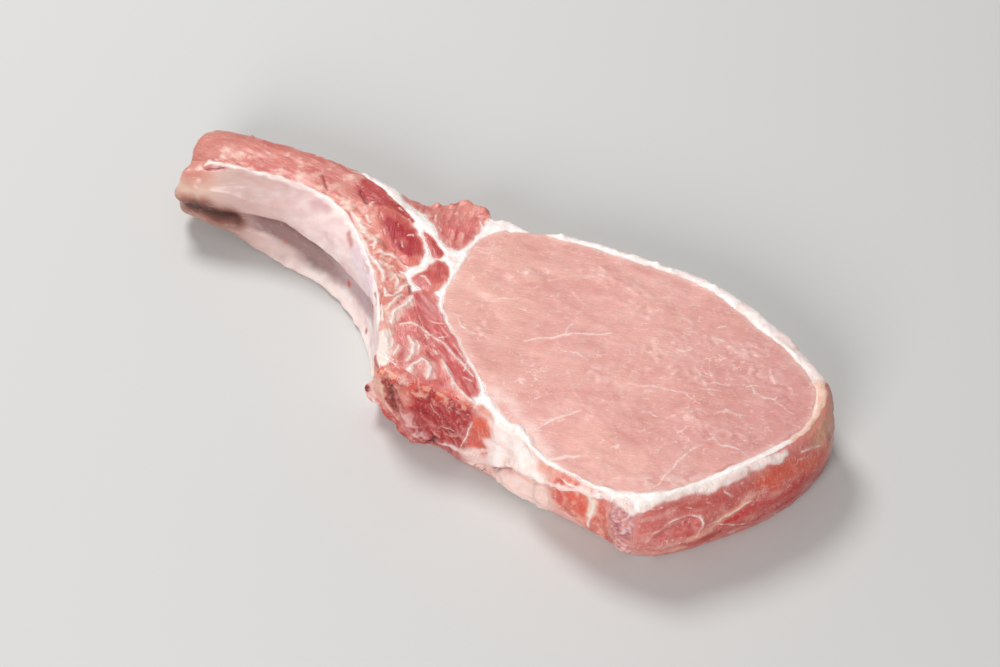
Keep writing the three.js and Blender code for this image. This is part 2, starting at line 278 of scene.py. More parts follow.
# Where the lean has grown over the fat, and the fat over the lean: a place, a radius and how far, in mm.
LEANER = [
    ((-15.0, 13.8), 4.2, 0.85), ((-19.0, 18.0), 3.4, 0.9), ((-12.0, 3.0), 4.5, 0.3),
    ((-27.0, 13.0), 9.0, 0.35), ((-14.0, 24.0), 6.0, 0.3), ((-36.5, 29.0), 6.0, 0.5),
    ((-29.5, 25.3), 6.0, 0.5), ((-23.0, 21.2), 4.0, 0.5), ((-17.2, 16.8), 3.0, 0.7),
    ((-4.0, -2.5), 4.5, 0.35), ((1.5, -7.0), 5.5, 0.4), ((6.5, -12.0), 5.5, 0.4), ((11.0, -17.0), 5.0, 0.4),
]
FATTER = [
    ((88.0, -4.0), 14.0, 0.25), ((76.0, -20.0), 14.0, 0.15), ((64.0, -33.0), 9.0, 0.3),
    ((26.0, -27.0), 9.0, 0.7), ((28.0, 31.0), 16.0, 0.9), ((46.0, 32.0), 16.0, 0.9),
    ((62.0, 27.0), 15.0, 0.9), ((76.0, 18.0), 12.0, 0.7),
]
RAGGED_EDGE = ((27.0, -27.0), 14.0, 1.2)


def leaning(points):
    """How far, in mm, the lean has grown over the fat at each place; negative where the fat has grown over
    the lean."""
    share = np.zeros(len(points))
    for sign, places in ((1, LEANER), (-1, FATTER)):
        for place, radius, reach in places:
            share += sign * reach * spot(points, place, radius, 1.0)
    place, radius, reach = RAGGED_EDGE
    return share + reach * spot(points, place, radius, 1.0) * lumps(points, 2.6, 5)


def on_wall(out):
    """1 on the upright sides of the chop, 0 on its cut faces."""
    return fade(np.abs(out[:, 2]), 0.25, 0.7)


def fitted(node, voxel, relief):
    """The node's piece, with its outside on the common skin of the chop. Past its border it dips under its
    neighbour, so that the two surfaces meet in one uneven line. The relief is a pair: the piece's own,
    which fades at its border, and what it shares with its neighbours. Returns the piece, its places on the
    skin, the directions out of the skin, and the distances in mm: fat, minus inside fat; seam, to the next
    lean piece."""
    piece = grown(node, voxel)
    places = places_of(piece.data)
    foot, out, height = on_skin(places)
    moved = wandering(foot, out)
    lean = leaning(foot)
    if node == "fat":
        own = distance_to(moved, FAT_TREE) + lean
        seam = distance_to(moved, search_nodes(LEAN))
        fat, inside = own - seam, seam - own
    else:
        own = distance_to(moved, search_nodes([node]))
        other = distance_to(moved, search_nodes([name for name in LEAN if name != node]))
        to_fat = distance_to(moved, FAT_TREE) + lean
        fat, seam = to_fat - np.minimum(own, other), other - own
        inside = np.minimum(other, to_fat) - own
    wall = on_wall(out)
    on_lean = (1 - wall) * fade(fat, -1.8, 0.2)
    lift = bumps(foot, (0.14, 8.0, 1), (0.08, 3.1, 2))
    lift += LEAN_RISE * on_lean * (1 + bumps(foot, (0.6, 2.4, 3), (0.5, 5.0, 4)))
    own_relief, shared_relief = relief(foot, out, fat, seam)
    lift += own_relief * step(inside, -0.1, 0.9) + shared_relief
    # On the face that lies on the table nothing stands out, and the hollows are shallower.
    faces_table = out[:, 2] < -0.5
    lift = np.where(faces_table, np.minimum(lift, 0) * 0.6, lift)
    lift -= DIP * step(-inside, 0.05, DIP_REACH)
    outer = height > lift - 0.02
    places[outer] = foot[outer] + out[outer] * lift[outer, None]
    places[:, 2] = np.maximum(places[:, 2], 0.0)
    piece.data.vertices.foreach_set("co", (places * MM).ravel())
    piece.data.update()
    far_end = step(foot[:, 0], 79, 84)
    bare = NO_TISSUE * (wall if node == "loin_eye" else np.maximum(wall, far_end))
    mark(piece, fat=fat - bare if node == "fat" else fat + bare, seam=seam + NO_TISSUE * wall)
    return piece, foot, out, fat, seam


def mark(piece, **masks):
    """Stores values at the mesh's points, for the material."""
    for name, values in masks.items():
        layer = piece.data.attributes.new(name, "FLOAT", "POINT")
        values = np.broadcast_to(values, len(piece.data.vertices))
        layer.data.foreach_set("value", values.astype(np.float32))


def paint(red, green, blue):
    """A colour as it looks on a screen, 0 to 255, in the shader's own numbers."""
    def linear(value):
        value /= 255
        return value / 12.92 if value <= 0.04045 else ((value + 0.055) / 1.055) ** 2.4
    return (linear(red), linear(green), linear(blue), 1.0)


def wash(piece, base, *layers):
    """Colours the mesh's points: a base, then layers over it, each a colour, or a colour for each point,
    and how far it covers, 0 to 1."""
    colour = np.tile(paint(*base), (len(piece.data.vertices), 1))
    for tint, cover in layers:
        tint = np.array(paint(*tint)) if len(tint) == 3 else tint
        colour += np.clip(cover, 0, 1)[:, None] * (tint - colour)
    layer = piece.data.attributes.new("wash", "FLOAT_COLOR", "POINT")
    layer.data.foreach_set("color", colour.astype(np.float32).ravel())


def finished(piece, node, material):
    piece.data.materials.clear()
    piece.data.materials.append(material)
    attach(piece, "root")
    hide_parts(node)


def wire(tree, made, inputs):
    """Gives a node its inputs: plain values, or other nodes' sockets to link."""
    for slot, value in inputs.items():
        if isinstance(value, bpy.types.NodeSocket):
            tree.links.new(value, made.inputs[slot])
        else:
            made.inputs[slot].default_value = value
    return made


def add(tree, kind, inputs, **settings):
    made = tree.nodes.new("ShaderNode" + kind)
    for name, value in settings.items():
        setattr(made, name, value)
    return wire(tree, made, inputs)


def maths(tree, operation, a, b):
    return add(tree, "Math", {0: a, 1: b}, operation=operation).outputs[0]


def times(tree, a, b):
    return maths(tree, "MULTIPLY", a, b)


def plus(tree, a, b):
    return maths(tree, "ADD", a, b)


def minus(tree, a, b):
    return maths(tree, "SUBTRACT", a, b)


def between(tree, value, low, high, to_low=0.0, to_high=1.0):
    """The value's place between low and high, smoothly, as a number from to_low to to_high."""
    inputs = {0: value, 1: low, 2: high, 3: to_low, 4: to_high}
    return add(tree, "MapRange", inputs, interpolation_type="SMOOTHSTEP").outputs[0]


def blend(tree, share, a, b, how="MIX"):
    return add(tree, "Mix", {0: share, 6: a, 7: b}, data_type="RGBA", blend_type=how).outputs[2]


def noise(tree, place, scale, detail=2.0, roughness=0.5, distortion=0.0):
    return add(tree, "TexNoise", {
        "Vector": place, "Scale": scale, "Detail": detail, "Roughness": roughness, "Distortion": distortion,
    }).outputs[0]


def stretched(tree, place, x, y, z):
    return add(tree, "VectorMath", {0: place, 1: (x, y, z)}, operation="MULTIPLY").outputs[0]


def stored(tree, name):
    return add(tree, "Attribute", {}, attribute_name=name).outputs["Fac"]


def new_group(name, inputs, outputs):
    group = bpy.data.node_groups.new(name, "ShaderNodeTree")
    for label, kind, value in inputs:
        socket = group.interface.new_socket(label, in_out="INPUT", socket_type="NodeSocket" + kind)
        if value is not None:
            socket.default_value = value
    for label, kind in outputs:
        group.interface.new_socket(label, in_out="OUTPUT", socket_type="NodeSocket" + kind)
    return group, group.nodes.new("NodeGroupInput").outputs, group.nodes.new("NodeGroupOutput").inputs


def use(tree, group, inputs):
    made = tree.nodes.new("ShaderNodeGroup")
    made.node_tree = group
    return wire(tree, made, inputs).outputs


def grain_group():
    """Lean meat close up: cloudy tone, fibre ends, broken pale lines between the bundles of fibres, pale
    strands along them, scattered flecks of fat, fine branching veins, and the height of it all."""
    group, given, result = new_group(
        "lean grain",
        [("Vector", "Vector", None), ("Turn", "Float", 0.5), ("Bundle", "Float", 420.0),
         ("Vein", "Float", 130.0)],
        [(label, "Float") for label in ("Tone", "Fibre", "Lines", "Strands", "Flecks", "Veins", "Height")],
    )
    place = given["Vector"]
    turning = {"Vector": place, "Angle": given["Turn"]}
    turned = add(group, "VectorRotate", turning, rotation_type="Z_AXIS").outputs[0]
    drawn = stretched(group, turned, 0.35, 1.0, 0.8)
    cloudy = noise(group, stretched(group, turned, 0.5, 1.0, 1.0), 150.0, 4.0, 0.6, 0.6)
    fibre = noise(group, drawn, 2100.0, 3.0, 0.7, 0.2)
    bent = noise(group, place, 330.0, 2.0, 0.5)

    def cracks(size, reach):
        """Distance to the borders of cells with bent sides."""
        shift = times(group, minus(group, bent, 0.5), reach)
        warped = add(group, "VectorMath", {0: drawn, 1: shift}, operation="ADD").outputs[0]
        cells = {"Vector": warped, "Scale": size}
        return add(group, "TexVoronoi", cells, feature="DISTANCE_TO_EDGE").outputs[0]

    broken = noise(group, place, 380.0, 3.0, 0.6, 0.5)
    lines = times(group, between(group, cracks(given["Bundle"], 0.006), 0.02, 0.09, 1.0, 0.0),
                  between(group, broken, 0.53, 0.66))
    strand = noise(group, stretched(group, turned, 0.13, 1.0, 0.7), 1500.0, 2.0, 0.55, 0.4)
    strands = times(group, between(group, strand, 0.55, 0.70), between(group, broken, 0.40, 0.56))
    fleck = noise(group, drawn, 1400.0, 1.0, 0.4, 0.8)
    flecks = times(group, between(group, fleck, 0.64, 0.74), between(group, bent, 0.44, 0.58))
    sparse = between(group, noise(group, place, 75.0, 3.0, 0.6), 0.47, 0.60)
    veins = times(group, between(group, cracks(given["Vein"], 0.012), 0.008, 0.030, 1.0, 0.0), sparse)
    veins = times(group, veins, between(group, strand, 0.36, 0.52))
    height = plus(group, times(group, fibre, 0.8), times(group, lines, 0.25))
    height = plus(group, height, times(group, strand, 0.35))
    for label, value in (
        ("Tone", between(group, cloudy, 0.28, 0.72)), ("Fibre", between(group, fibre, 0.25, 0.75)),
        ("Lines", lines), ("Strands", strands), ("Flecks", flecks), ("Veins", veins), ("Height", height),
    ):
        group.links.new(value, result[label])
    return group


def cling_group():
    """White tissue along a border or a thread, ragged: 1 on it, 0 away from it."""
    group, given, result = new_group(
        "clinging tissue",
        [("Vector", "Vector", None), ("Distance", "Float", 1.0), ("Reach", "Float", 0.8),
         ("Soft", "Float", 0.4)],
        [("Cover", "Float")],
    )
    ragged = noise(group, given["Vector"], 1000.0, 4.0, 0.75, 0.8)
    swing = times(group, minus(group, ragged, 0.5), times(group, given["Reach"], 3.6))
    distance = plus(group, given["Distance"], swing)
    low = minus(group, given["Reach"], given["Soft"])
    high = plus(group, given["Reach"], given["Soft"])
    group.links.new(between(group, distance, low, high, 1.0, 0.0), result["Cover"])
    return group


def wet_group():
    """The film of juice on cut meat: glossy where it gathers, duller where it has dried."""
    group, given, result = new_group(
        "wet film",
        [("Vector", "Vector", None), ("Dull", "Float", 0.55), ("Glossy", "Float", 0.3),
         ("Wet", "Float", 0.5)],
        [("Roughness", "Float"), ("Film", "Float")],
    )
    pools = between(group, noise(group, given["Vector"], 240.0, 4.0, 0.65, 0.5), 0.4, 0.62)
    span = minus(group, given["Glossy"], given["Dull"])
    group.links.new(plus(group, given["Dull"], times(group, pools, span)), result["Roughness"])
    group.links.new(times(group, plus(group, pools, 0.2), given["Wet"]), result["Film"])
    return group


LEAN_GRAIN = grain_group()
CLINGING = cling_group()
WET_FILM = wet_group()
FAT_WHITE = paint(249, 238, 231)


def moist_material(name, scatter):
    """A new material with a shader for moist flesh; returns it, its tree, the shader, the place on the
    piece and the piece's own colour."""
    material = bpy.data.materials.new(name)
    material.use_nodes = True
    tree = material.node_tree
    shader = tree.nodes["Principled BSDF"]
    wire(tree, shader, {
        "Subsurface Weight": scatter, "Subsurface Radius": (1.0, 0.35, 0.22), "Subsurface Scale": 0.8 * MM,
        "Coat Roughness": 0.15, "Specular IOR Level": 0.4,
    })
    own = add(tree, "Attribute", {}, attribute_name="wash").outputs["Color"]
    return material, tree, shader, add(tree, "TexCoord", {}).outputs["Object"], own


def dress(tree, shader, place, colour, height, bump, dull, glossy, wet):
    """Gives the shader its colour, a film of juice, and fine relief this many mm deep."""
    film = use(tree, WET_FILM, {"Vector": place, "Dull": dull, "Glossy": glossy, "Wet": wet})
    relief = add(tree, "Bump", {"Height": height, "Distance": bump * MM, "Strength": 1.0}).outputs[0]
    wire(tree, shader, {
        "Base Color": colour, "Roughness": film["Roughness"], "Coat Weight": film["Film"], "Normal": relief,
    })


def clinging(tree, place, distance, reach, soft):
    inputs = {"Vector": place, "Distance": distance, "Reach": reach, "Soft": soft}
    return use(tree, CLINGING, inputs)["Cover"]


def meat_material(name, pale, turn, lines, contrast=0.55, strands=0.3, flecks=0.3, veins=0.0, bundle=420.0,
                  edge=0.3, seam=0.2, thread=0.8, bump=0.2, dull=0.55, glossy=0.34, wet=0.1, scatter=0.25):
    """Lean meat in the piece's own colours, with darker clouds, pale marks between its fibres, and white
    tissue at its borders with fat and with other muscles, and on its threads. The bump is in mm."""
    material, tree, shader, place, own = moist_material(name, scatter)
    grain = use(tree, LEAN_GRAIN, {"Vector": place, "Turn": turn, "Bundle": bundle})
    tone = plus(tree, times(tree, grain["Tone"], 0.6), times(tree, grain["Fibre"], 0.4))
    clouds = times(tree, minus(tree, 1.0, tone), contrast)
    colour = blend(tree, clouds, own, paint(222, 182, 180), "MULTIPLY")
    marks = 0.0
    for mark_name, share in (("Lines", lines), ("Strands", strands), ("Flecks", flecks), ("Veins", veins)):
        marks = maths(tree, "MAXIMUM", marks, times(tree, grain[mark_name], share))
    colour = blend(tree, marks, colour, paint(*pale))
    threads_near = stored(tree, "thread")
    halo = times(tree, between(tree, threads_near, 0.6, 2.8, 1.0, 0.0), 0.4 * thread)
    colour = blend(tree, halo, colour, paint(*pale))
    white = 0.0
    for distance, reach, soft, share in (
        (stored(tree, "fat"), edge, 0.35, 0.85),
        (stored(tree, "seam"), seam, 0.3, times(tree, stored(tree, "tissue"), 0.8)),
        (threads_near, 0.75, 0.5, thread),
    ):
        cover = clinging(tree, place, distance, reach, soft)
        white = maths(tree, "MAXIMUM", white, times(tree, cover, share))
    colour = blend(tree, white, colour, FAT_WHITE)
    height = plus(tree, grain["Height"], times(tree, white, 0.4))
    dress(tree, shader, place, colour, height, bump, dull, glossy, wet)
    return material


LOIN_THREADS = [
    (0.32, (16.7, -2.9), (19.9, -0.1), (22.9, 1.0), (24.8, 3.1), (29.9, 6.2), (34.6, 8.7)),
    (0.22, (24.8, 3.1), (24.3, 5.5), (24.9, 8.0)),
    (0.22, (24.5, -0.7), (26.5, -1.8), (29.6, -1.0), (33.7, -1.8)),
    (0.26, (31.3, -25.7), (32.7, -22.9), (34.4, -20.6), (36.7, -18.2), (38.7, -15.8)),
    (0.45, (36.0, -33.2), (39.6, -31.2), (41.5, -29.5), (44.2, -27.9)),
    (0.18, (30.3, -6.6), (32.4, -9.2), (34.2, -11.5), (38.7, -15.0)),
    (0.24, (50.7, -10.2), (53.0, -9.2), (54.8, -10.0)),
    (0.22, (43.8, -4.4), (47.1, -3.8), (49.3, -2.4), (54.5, -1.5), (58.0, -0.2), (60.4, -1.4),
     (62.5, -2.1)),
    (0.22, (66.1, -3.5), (67.5, -1.8), (68.6, -0.9), (70.6, -1.1), (73.1, -0.2)),
    (0.22, (67.9, 10.2), (69.0, 10.3), (72.6, 7.0), (74.6, 6.5), (76.9, 7.1), (79.5, 6.1), (83.1, 4.6)),
    (0.20, (76.9, 7.1), (77.5, 8.4)), (0.24, (71.8, 16.8), (73.3, 14.0), (75.5, 11.5)),
    (0.22, (50.0, 11.1), (52.1, 11.3), (54.3, 13.3)), (0.20, (52.1, 11.3), (53.5, 10.0)),
    (0.22, (67.7, -11.3), (68.7, -9.6), (70.9, -10.7), (76.0, -10.5), (78.6, -11.5)),
    (0.20, (61.3, 2.5), (64.7, 3.8)), (0.18, (55.6, 18.7), (60.8, 19.1)),
    (0.24, (62.7, -29.2), (63.4, -27.0), (65.4, -15.8), (67.4, -12.5)),
    (0.24, (-1.3, -2.8), (3.6, -6.1), (5.8, -5.8)), (0.20, (-2.9, -2.6), (0.6, -2.4)),
    (0.20, (4.6, 6.3), (8.1, 8.0), (10.6, 9.3)), (0.26, (-4.2, 10.9), (-2.8, 9.3)),
    (0.20, (18.0, 17.3), (21.3, 16.2), (25.8, 14.1)), (0.22, (55.8, 22.0), (57.9, 23.4)),
    (0.20, (66.7, 17.9), (69.0, 17.8)),
]
LOBE_FOLD = [
    (48.1, -17.4), (51.4, -18.5), (55.0, -19.4), (57.6, -20.7), (60.9, -22.9), (62.5, -24.7), (63.4, -28.3),
]
SHEEN_STEP = [(25.0, 24.5), (29.6, 25.7), (35.6, 23.5), (40.7, 22.4)]
SHEEN_BANDS = [
    (3.0, (20.8, 25.5), (26.6, 24.5), (31.7, 25.2), (38.0, 22.8)),
    (2.6, (31.6, 19.5), (36.0, 19.6), (40.0, 16.6)),
    (3.4, (53.4, 17.8), (58.8, 17.3), (64.8, 18.4), (70.1, 21.1)),
    (3.0, (70.0, 12.0), (76.0, 13.0), (80.0, 9.0)), (3.0, (44.0, 8.0), (52.0, 5.0), (60.0, 5.6)),
    (3.0, (60.0, -6.0), (68.0, -8.0), (76.0, -6.0)), (2.6, (2.0, 4.0), (5.0, 0.0), (6.0, -4.0)),
    (3.0, (36.0, -4.0), (44.0, -8.0)),
]


def sheen_zone(points):
    """1 where the cut face is finely puckered and glistens."""
    loose = frayed(points, 1.2, 3.5)
    return np.max([near(loose, path, half_width, 0.9) for half_width, *path in SHEEN_BANDS], axis=0)


def puckers(points):
    """Fine wrinkles of the cut face: 1 along thin wandering lines, 0 between them."""
    return fade(np.abs(lumps(frayed(drawn_out(points, -20, 1.8), 0.4, 1.2), 1.5, 346)), 0.02, 0.3)


def loin_relief(points, out, fat, _):
    thread = threads(points, LOIN_THREADS, 200)
    fold, _ = to_path(frayed(points, 0.6, 2.5), LOBE_FOLD)
    ledge, _ = to_path(frayed(points, 0.8, 3.0), SHEEN_STEP)
    sheen = sheen_zone(points)
    lift = bumps(drawn_out(points, 16, 3), (0.06, 1.1, 201), (0.08, 2.2, 202))
    lift += bumps(points, (0.12, 6, 203))
    lift += sheen * bumps(frayed(points, 0.5, 1.5), (0.22, 1.1, 210))
    lift += 0.12 * puckers(points) * np.maximum(sheen, 0.6 * step(points[:, 0], 30, 50))
    lift += 0.04 * fade(thread, 0.5, 2.2)
    lift += 0.28 * np.exp(-(ledge / 2.2) ** 2) - 0.12 * np.exp(-(fold / 1.6) ** 2)
    lift -= 0.1 * fade(fat, 0.0, 3.0)
    return lift * np.abs(out[:, 2]), 0.0


loin, foot, _, fat, _ = fitted("loin_eye", voxel=0.455, relief=loin_relief)
mark(loin, thread=threads(foot, LOIN_THREADS, 200), tissue=0.7)
fibres = drawn_out(frayed(foot, 0.8, 3.0), 16, 1.6)
ragged = frayed(foot, 1.0, 2.0)
wash(
    loin, (231, 175, 165),
    ((235, 184, 168), 0.7 * fade(foot[:, 0], -5, 30)),
    ((214, 152, 147), 0.6 * step(foot[:, 0], 40, 85)),
    ((240, 192, 180), 0.4 * patches(fibres, 7, 204, 0.0, 0.7)),
    ((221, 156, 148), 0.4 * patches(fibres, 5, 205, 0.0, 0.7)),
    ((242, 200, 190), 0.22 * patches(fibres, 1.7, 207, 0.1, 0.7)),
    # Painted sheen: paler where the cut face glistens, and painted glints on its fine puckers.
    ((248, 222, 215), 0.3 * sheen_zone(foot) * patches(frayed(foot, 0.5, 1.5), 1.1, 210, -0.1, 0.5)),
    ((247, 216, 208), 0.2 * puckers(foot) * step(foot[:, 0], 24, 50) * patches(foot, 3.0, 347, -0.3, 0.3)),
    ((220, 154, 147), 0.2 * patches(fibres, 1.3, 208, 0.1, 0.7)),
    # Painted glints: a whitish glitter on the wet lower border by the rim.
    ((246, 222, 215), 0.6 * near(ragged, [(52, -31), (60, -28.5), (68, -24), (74, -20)], 3.2, 1.0)
     * patches(frayed(foot), 1.2, 209, -0.1, 0.4)),
    ((246, 222, 214), 0.6 * near(ragged, [(18, -20), (24, -22), (30, -26), (36, -30)], 3.0, 1.0)),
    ((240, 188, 174), 0.5 * near(foot, [(44, -24), (54, -26)], 9) * fade(foot[:, 1], -19, -16)),
    ((216, 146, 140), 0.35 * near(frayed(foot, 0.6, 2.5), LOBE_FOLD, 1.5, 0.9)),
    ((244, 206, 194), 0.5 * fade(fat, 0.2, 2.2)),
    ((204, 122, 118), 0.6 * fade(np.abs(fat - 0.5), 0.1, 0.6) * step(foot[:, 0], 62, 74)
     * patches(foot, 5, 206)),
)
finished(loin, "loin_eye", meat_material(
    "loin meat", pale=(246, 216, 208), turn=-0.28, lines=0.44, contrast=0.56, strands=0.1, flecks=0.4,
    veins=0.6, bundle=560.0, edge=0.1, thread=0.45, bump=0.14, dull=0.58, wet=0.06))

# ---- Dark muscles ----
# Three short muscles cut across between rib and eye: a large oval one, a narrow wedge beside it and a round
# one below. They work harder than the loin, so they are deep red, and paler only where they thin out
# towards the fat.

CAP_THREADS = [
    (0.30, (-24.9, 15.4), (-23.6, 16.5), (-22.9, 16.0)), (0.28, (-25.3, 13.4), (-23.6, 11.4)),
    (0.20, (-26.6, 12.9), (-25.7, 11.8)), (0.26, (-33.9, 18.9), (-32.8, 17.6)),
    (0.18, (-28.6, 18.0), (-27.6, 16.8)),
]
ROUND_THREADS = [
    (0.42, (-15.4, 4.9), (-14.0, 5.0), (-12.8, 4.3), (-11.5, 3.1)), (0.24, (-9.3, 6.4), (-8.4, 5.4)),
]
WEDGE_THREADS = [(0.16, (-16.9, 14.6), (-15.2, 12.4))]


def dark_relief(points, _, fat, seam):
    lift = bumps(drawn_out(points, 115, 2.5), (0.10, 1.2, 211)) + bumps(points, (0.14, 2.6, 212))
    return lift + 0.2 * step(fat, 0.2, 2.4) * step(seam, 0.2, 2.4), 0.0


for node, marks, base, layers in (
    ("cap_muscle", CAP_THREADS, (184, 36, 45), (
        ((176, 38, 50), lambda points: 0.85 * near(points, [(-31, 16), (-27, 14), (-22.5, 9.5)], 3.2, 0.9)),
        ((218, 112, 98), lambda points: near(points, [(-24.6, 8.2), (-20.2, 7.3), (-18.4, 9.6)], 2.3)),
        ((218, 118, 108), lambda points: 0.7 * near(points, [(-31.5, 20.5), (-26, 19.4)], 2.2)),
    )),
    ("wedge_muscle", WEDGE_THREADS, (196, 70, 70), (
        ((220, 134, 124), lambda points: 0.6 * spot(points, (-13.6, 11.4), 2.4)),
    )),
    ("round_muscle", ROUND_THREADS, (208, 92, 86), (
        ((188, 62, 66), lambda points: 0.8 * near(points, [(-15.8, 2.6), (-12.4, 2.0)], 1.8)),
        ((226, 136, 120), lambda points: 0.8 * near(points, [(-10.2, 2.6), (-7.4, 5.2), (-8.2, 8.4)], 2.0)),
    )),
):
    piece, foot, _, fat, seam = fitted(node, voxel=0.32, relief=dark_relief)
    mark(piece, thread=threads(foot, marks, 213, 0.2), tissue=0.8 * step(foot[:, 0] + foot[:, 1], -9, -2))
    wash(
        piece, base,
        *((tint, cover(frayed(foot))) for tint, cover in layers),
        ((224, 132, 120), 0.3 * patches(foot, 2.0, 214, 0.1, 0.5)),
        ((180, 56, 64), 0.35 * patches(foot, 2.6, 215, 0.1, 0.5)),
        ((222, 126, 112), 0.85 * fade(seam, 0.0, 1.8)),
        ((232, 156, 142), 0.75 * fade(fat, 0.0, 1.6)),
    )
    finished(piece, node, meat_material(
        node.replace("_", " "), pale=(228, 148, 136), turn=-2.0, lines=0.1, contrast=0.6, strands=0.08,
        flecks=0.15, bundle=600.0, thread=0.6, bump=0.18, dull=0.5, glossy=0.3))

# ---- Flap ----
# The torn end of a thin flat muscle that lies over the rib: its fibres hang out over the back of the chop
# in ragged points, thin enough at the tips to look paler.

FLAP_THREADS = [
    (0.22, (-22.6, 27.0), (-21.4, 24.6), (-20.6, 22.6)), (0.18, (-18.6, 30.2), (-18.2, 28.6)),
    (0.20, (-21.9, 24.0), (-20.6, 23.4)), (0.22, (-15.4, 32.0), (-14.8, 30.6)),
    (0.18, (-19.2, 22.2), (-17.6, 21.0)), (0.16, (-12.9, 23.4), (-12.2, 21.6)),
    (0.16, (-14.2, 19.2), (-13.0, 17.6)), (0.20, (-25.0, 25.4), (-23.8, 24.2)),
    (0.35, (-11.6, 29.4), (-9.6, 27.0), (-8.4, 23.4)),
]
FLAP_POINTS = [
    (-24.6, 31.2, 1.6), (-19.0, 34.4, 1.1), (-20.6, 32.0, 1.6), (-14.6, 32.6, 1.2), (-11.9, 30.8, 1.0),
    (-9.5, 29.2, 1.5),
]


def flap_relief(points, out, *_):
    lift = bumps(drawn_out(points, 104, 4), (0.16, 0.7, 221), (0.2, 1.5, 222))
    lift += bumps(points, (0.2, 3.0, 223))
    upper_back = step(out[:, 1], -0.2, 0.5) * step(points[:, 2], 13, 18)
    for x, y, radius in FLAP_POINTS:
        lift += 1.3 * spot(points, (x, y), radius, 1.0) * upper_back
    return lift + 0.08 * fade(threads(points, FLAP_THREADS, 224), 0.5, 2.0), 0.0


flap, foot, out, fat, _ = fitted("flap_muscle", voxel=0.32, relief=flap_relief)
mark(flap, thread=threads(foot, FLAP_THREADS, 224), tissue=0.7)
fibres = drawn_out(frayed(foot), 104, 4)
wash(
    flap, (221, 128, 120),
    ((210, 104, 100), 0.7 * spot(foot, (-14.0, 20.5), 6.5)),
    ((228, 152, 138), 0.7 * step(foot[:, 1], 25.5, 31.5)),
    ((238, 180, 166), 0.6 * patches(fibres, 0.7, 225, 0.05, 0.45)),
    ((196, 86, 86), 0.55 * patches(fibres, 0.8, 226, 0.1, 0.45)),
    ((240, 190, 176), 0.5 * on_wall(out)),
    ((246, 222, 208), 0.8 * near(frayed(foot), [(-9.0, 29.4), (-6.4, 25.6), (-6.8, 22.6)], 1.5, 0.7)),
    ((242, 204, 192), 0.7 * fade(fat, 0.0, 1.6)),
)
finished(flap, "flap_muscle", meat_material(
    "flap meat", pale=(242, 196, 182), turn=-1.8, lines=0.2, strands=0.4))

# ---- Rib bone ----
# The rib, seen from the inside of the chest: the bone swells along the upper half, with a groove below it
# and a thin flange of flesh at the table. One wet, pale membrane runs over all of it and ends in a white
# line along the crest.

CREST = [
    (-81.5, 15.0), (-77.5, 16.1), (-72.2, 17.0), (-64.6, 17.8), (-55.7, 18.0), (-47.2, 16.6), (-41.0, 13.4),
    (-36.5, 10.3), (-30.2, 4.8), (-24.4, -1.2), (-20.8, -6.9), (-16.6, -13.9),
]
LEDGE_X = [-76, -65, -57.9, -53.4, -44.5, -34.8, -26.7, -21]
LEDGE_Z = [11.4, 12.6, 13.6, 12.7, 11.4, 11.6, 14.0, 18.0]
GROOVE_X = [-76, -67.8, -63.8, -58.4, -53, -43.5, -36.1, -28.8, -22.4]
GROOVE_Z = [7.4, 6.1, 5.4, 4.9, 4.0, 4.1, 5.4, 6.6, 9.0]
BONE_THREADS = [
    (0.30, (-37.0, 10.8, 20.5), (-33.6, 7.8, 20.3), (-30.3, 4.9, 20.1)),
    (0.22, (-33.0, 6.6, 19.9), (-28.0, 1.6, 19.7)),
    (0.18, (-29.8, 3.0, 19.2), (-25.6, -1.2, 19.0), (-22.4, -6.2, 18.4)),
    (0.20, (-35.4, 8.6, 19.4), (-33.2, 6.0, 18.4)), (0.16, (-24.6, -2.6, 18.0), (-21.4, -8.2, 14.6)),
    (0.22, (-39.6, 12.0, 20.6), (-37.6, 10.6, 20.4)),
]
TIP_EDGE = [(-87.0, 7.5, 13.0), (-84.6, 7.6, 12.6), (-80.5, 7.9, 13.2)]
MEMBRANE_LIP = [(-81.9, 14.2, 20.9), (-80.0, 15.2, 21.2), (-77.8, 16.0, 21.2)]
MEMBRANE_SLIT = [(-81.2, 13.0, 20.4), (-78.7, 14.1, 20.8), (-77.4, 15.2, 21.1)]
# The hollow under the overhanging tip; the wash paints shade along it as well as the bone's brown.
TIP_HOLLOW = [
    (-84.4, 7.6, 10.6), (-82.1, 7.8, 11.4), (-80.0, 8.1, 10.8), (-75.4, 9.2, 9.8), (-72.6, 10.0, 9.4),
]
DARK_SEAM = [(-22.4, -4.6, 19.6), (-20.4, -8.6, 19.7), (-16.2, -15.6, 19.8), (-14.6, -18.6, 19.6)]


def groove_of(points, out):
    """1 in the groove under the rib's swell."""
    top = np.interp(points[:, 0], LEDGE_X, LEDGE_Z) + bumps(points, (0.5, 7, 231))
    bottom = np.interp(points[:, 0], GROOVE_X, GROOVE_Z) + bumps(points, (0.6, 6, 232))
    ends = step(points[:, 0], -76, -64) * fade(points[:, 0], -25, -20) * step(-out[:, 1], -0.2, 0.3)
    return step(points[:, 2], bottom - 1.2, bottom + 1.2) * fade(points[:, 2], top - 0.9, top + 0.5) * ends


def crest_cover(points, out):
    """The white edge of the membrane along the crest of the rib, painted whiter as a highlight on the
    ridge: broken, and lost in the curls of fat at its end."""
    line = near(frayed(points, 0.6, 2.0, 233), CREST, 0.95, 0.9) * step(out[:, 2], 0.0, 0.5)
    return line * (0.55 + 0.45 * patches(points, 3.0, 229, -0.4, 0.2))


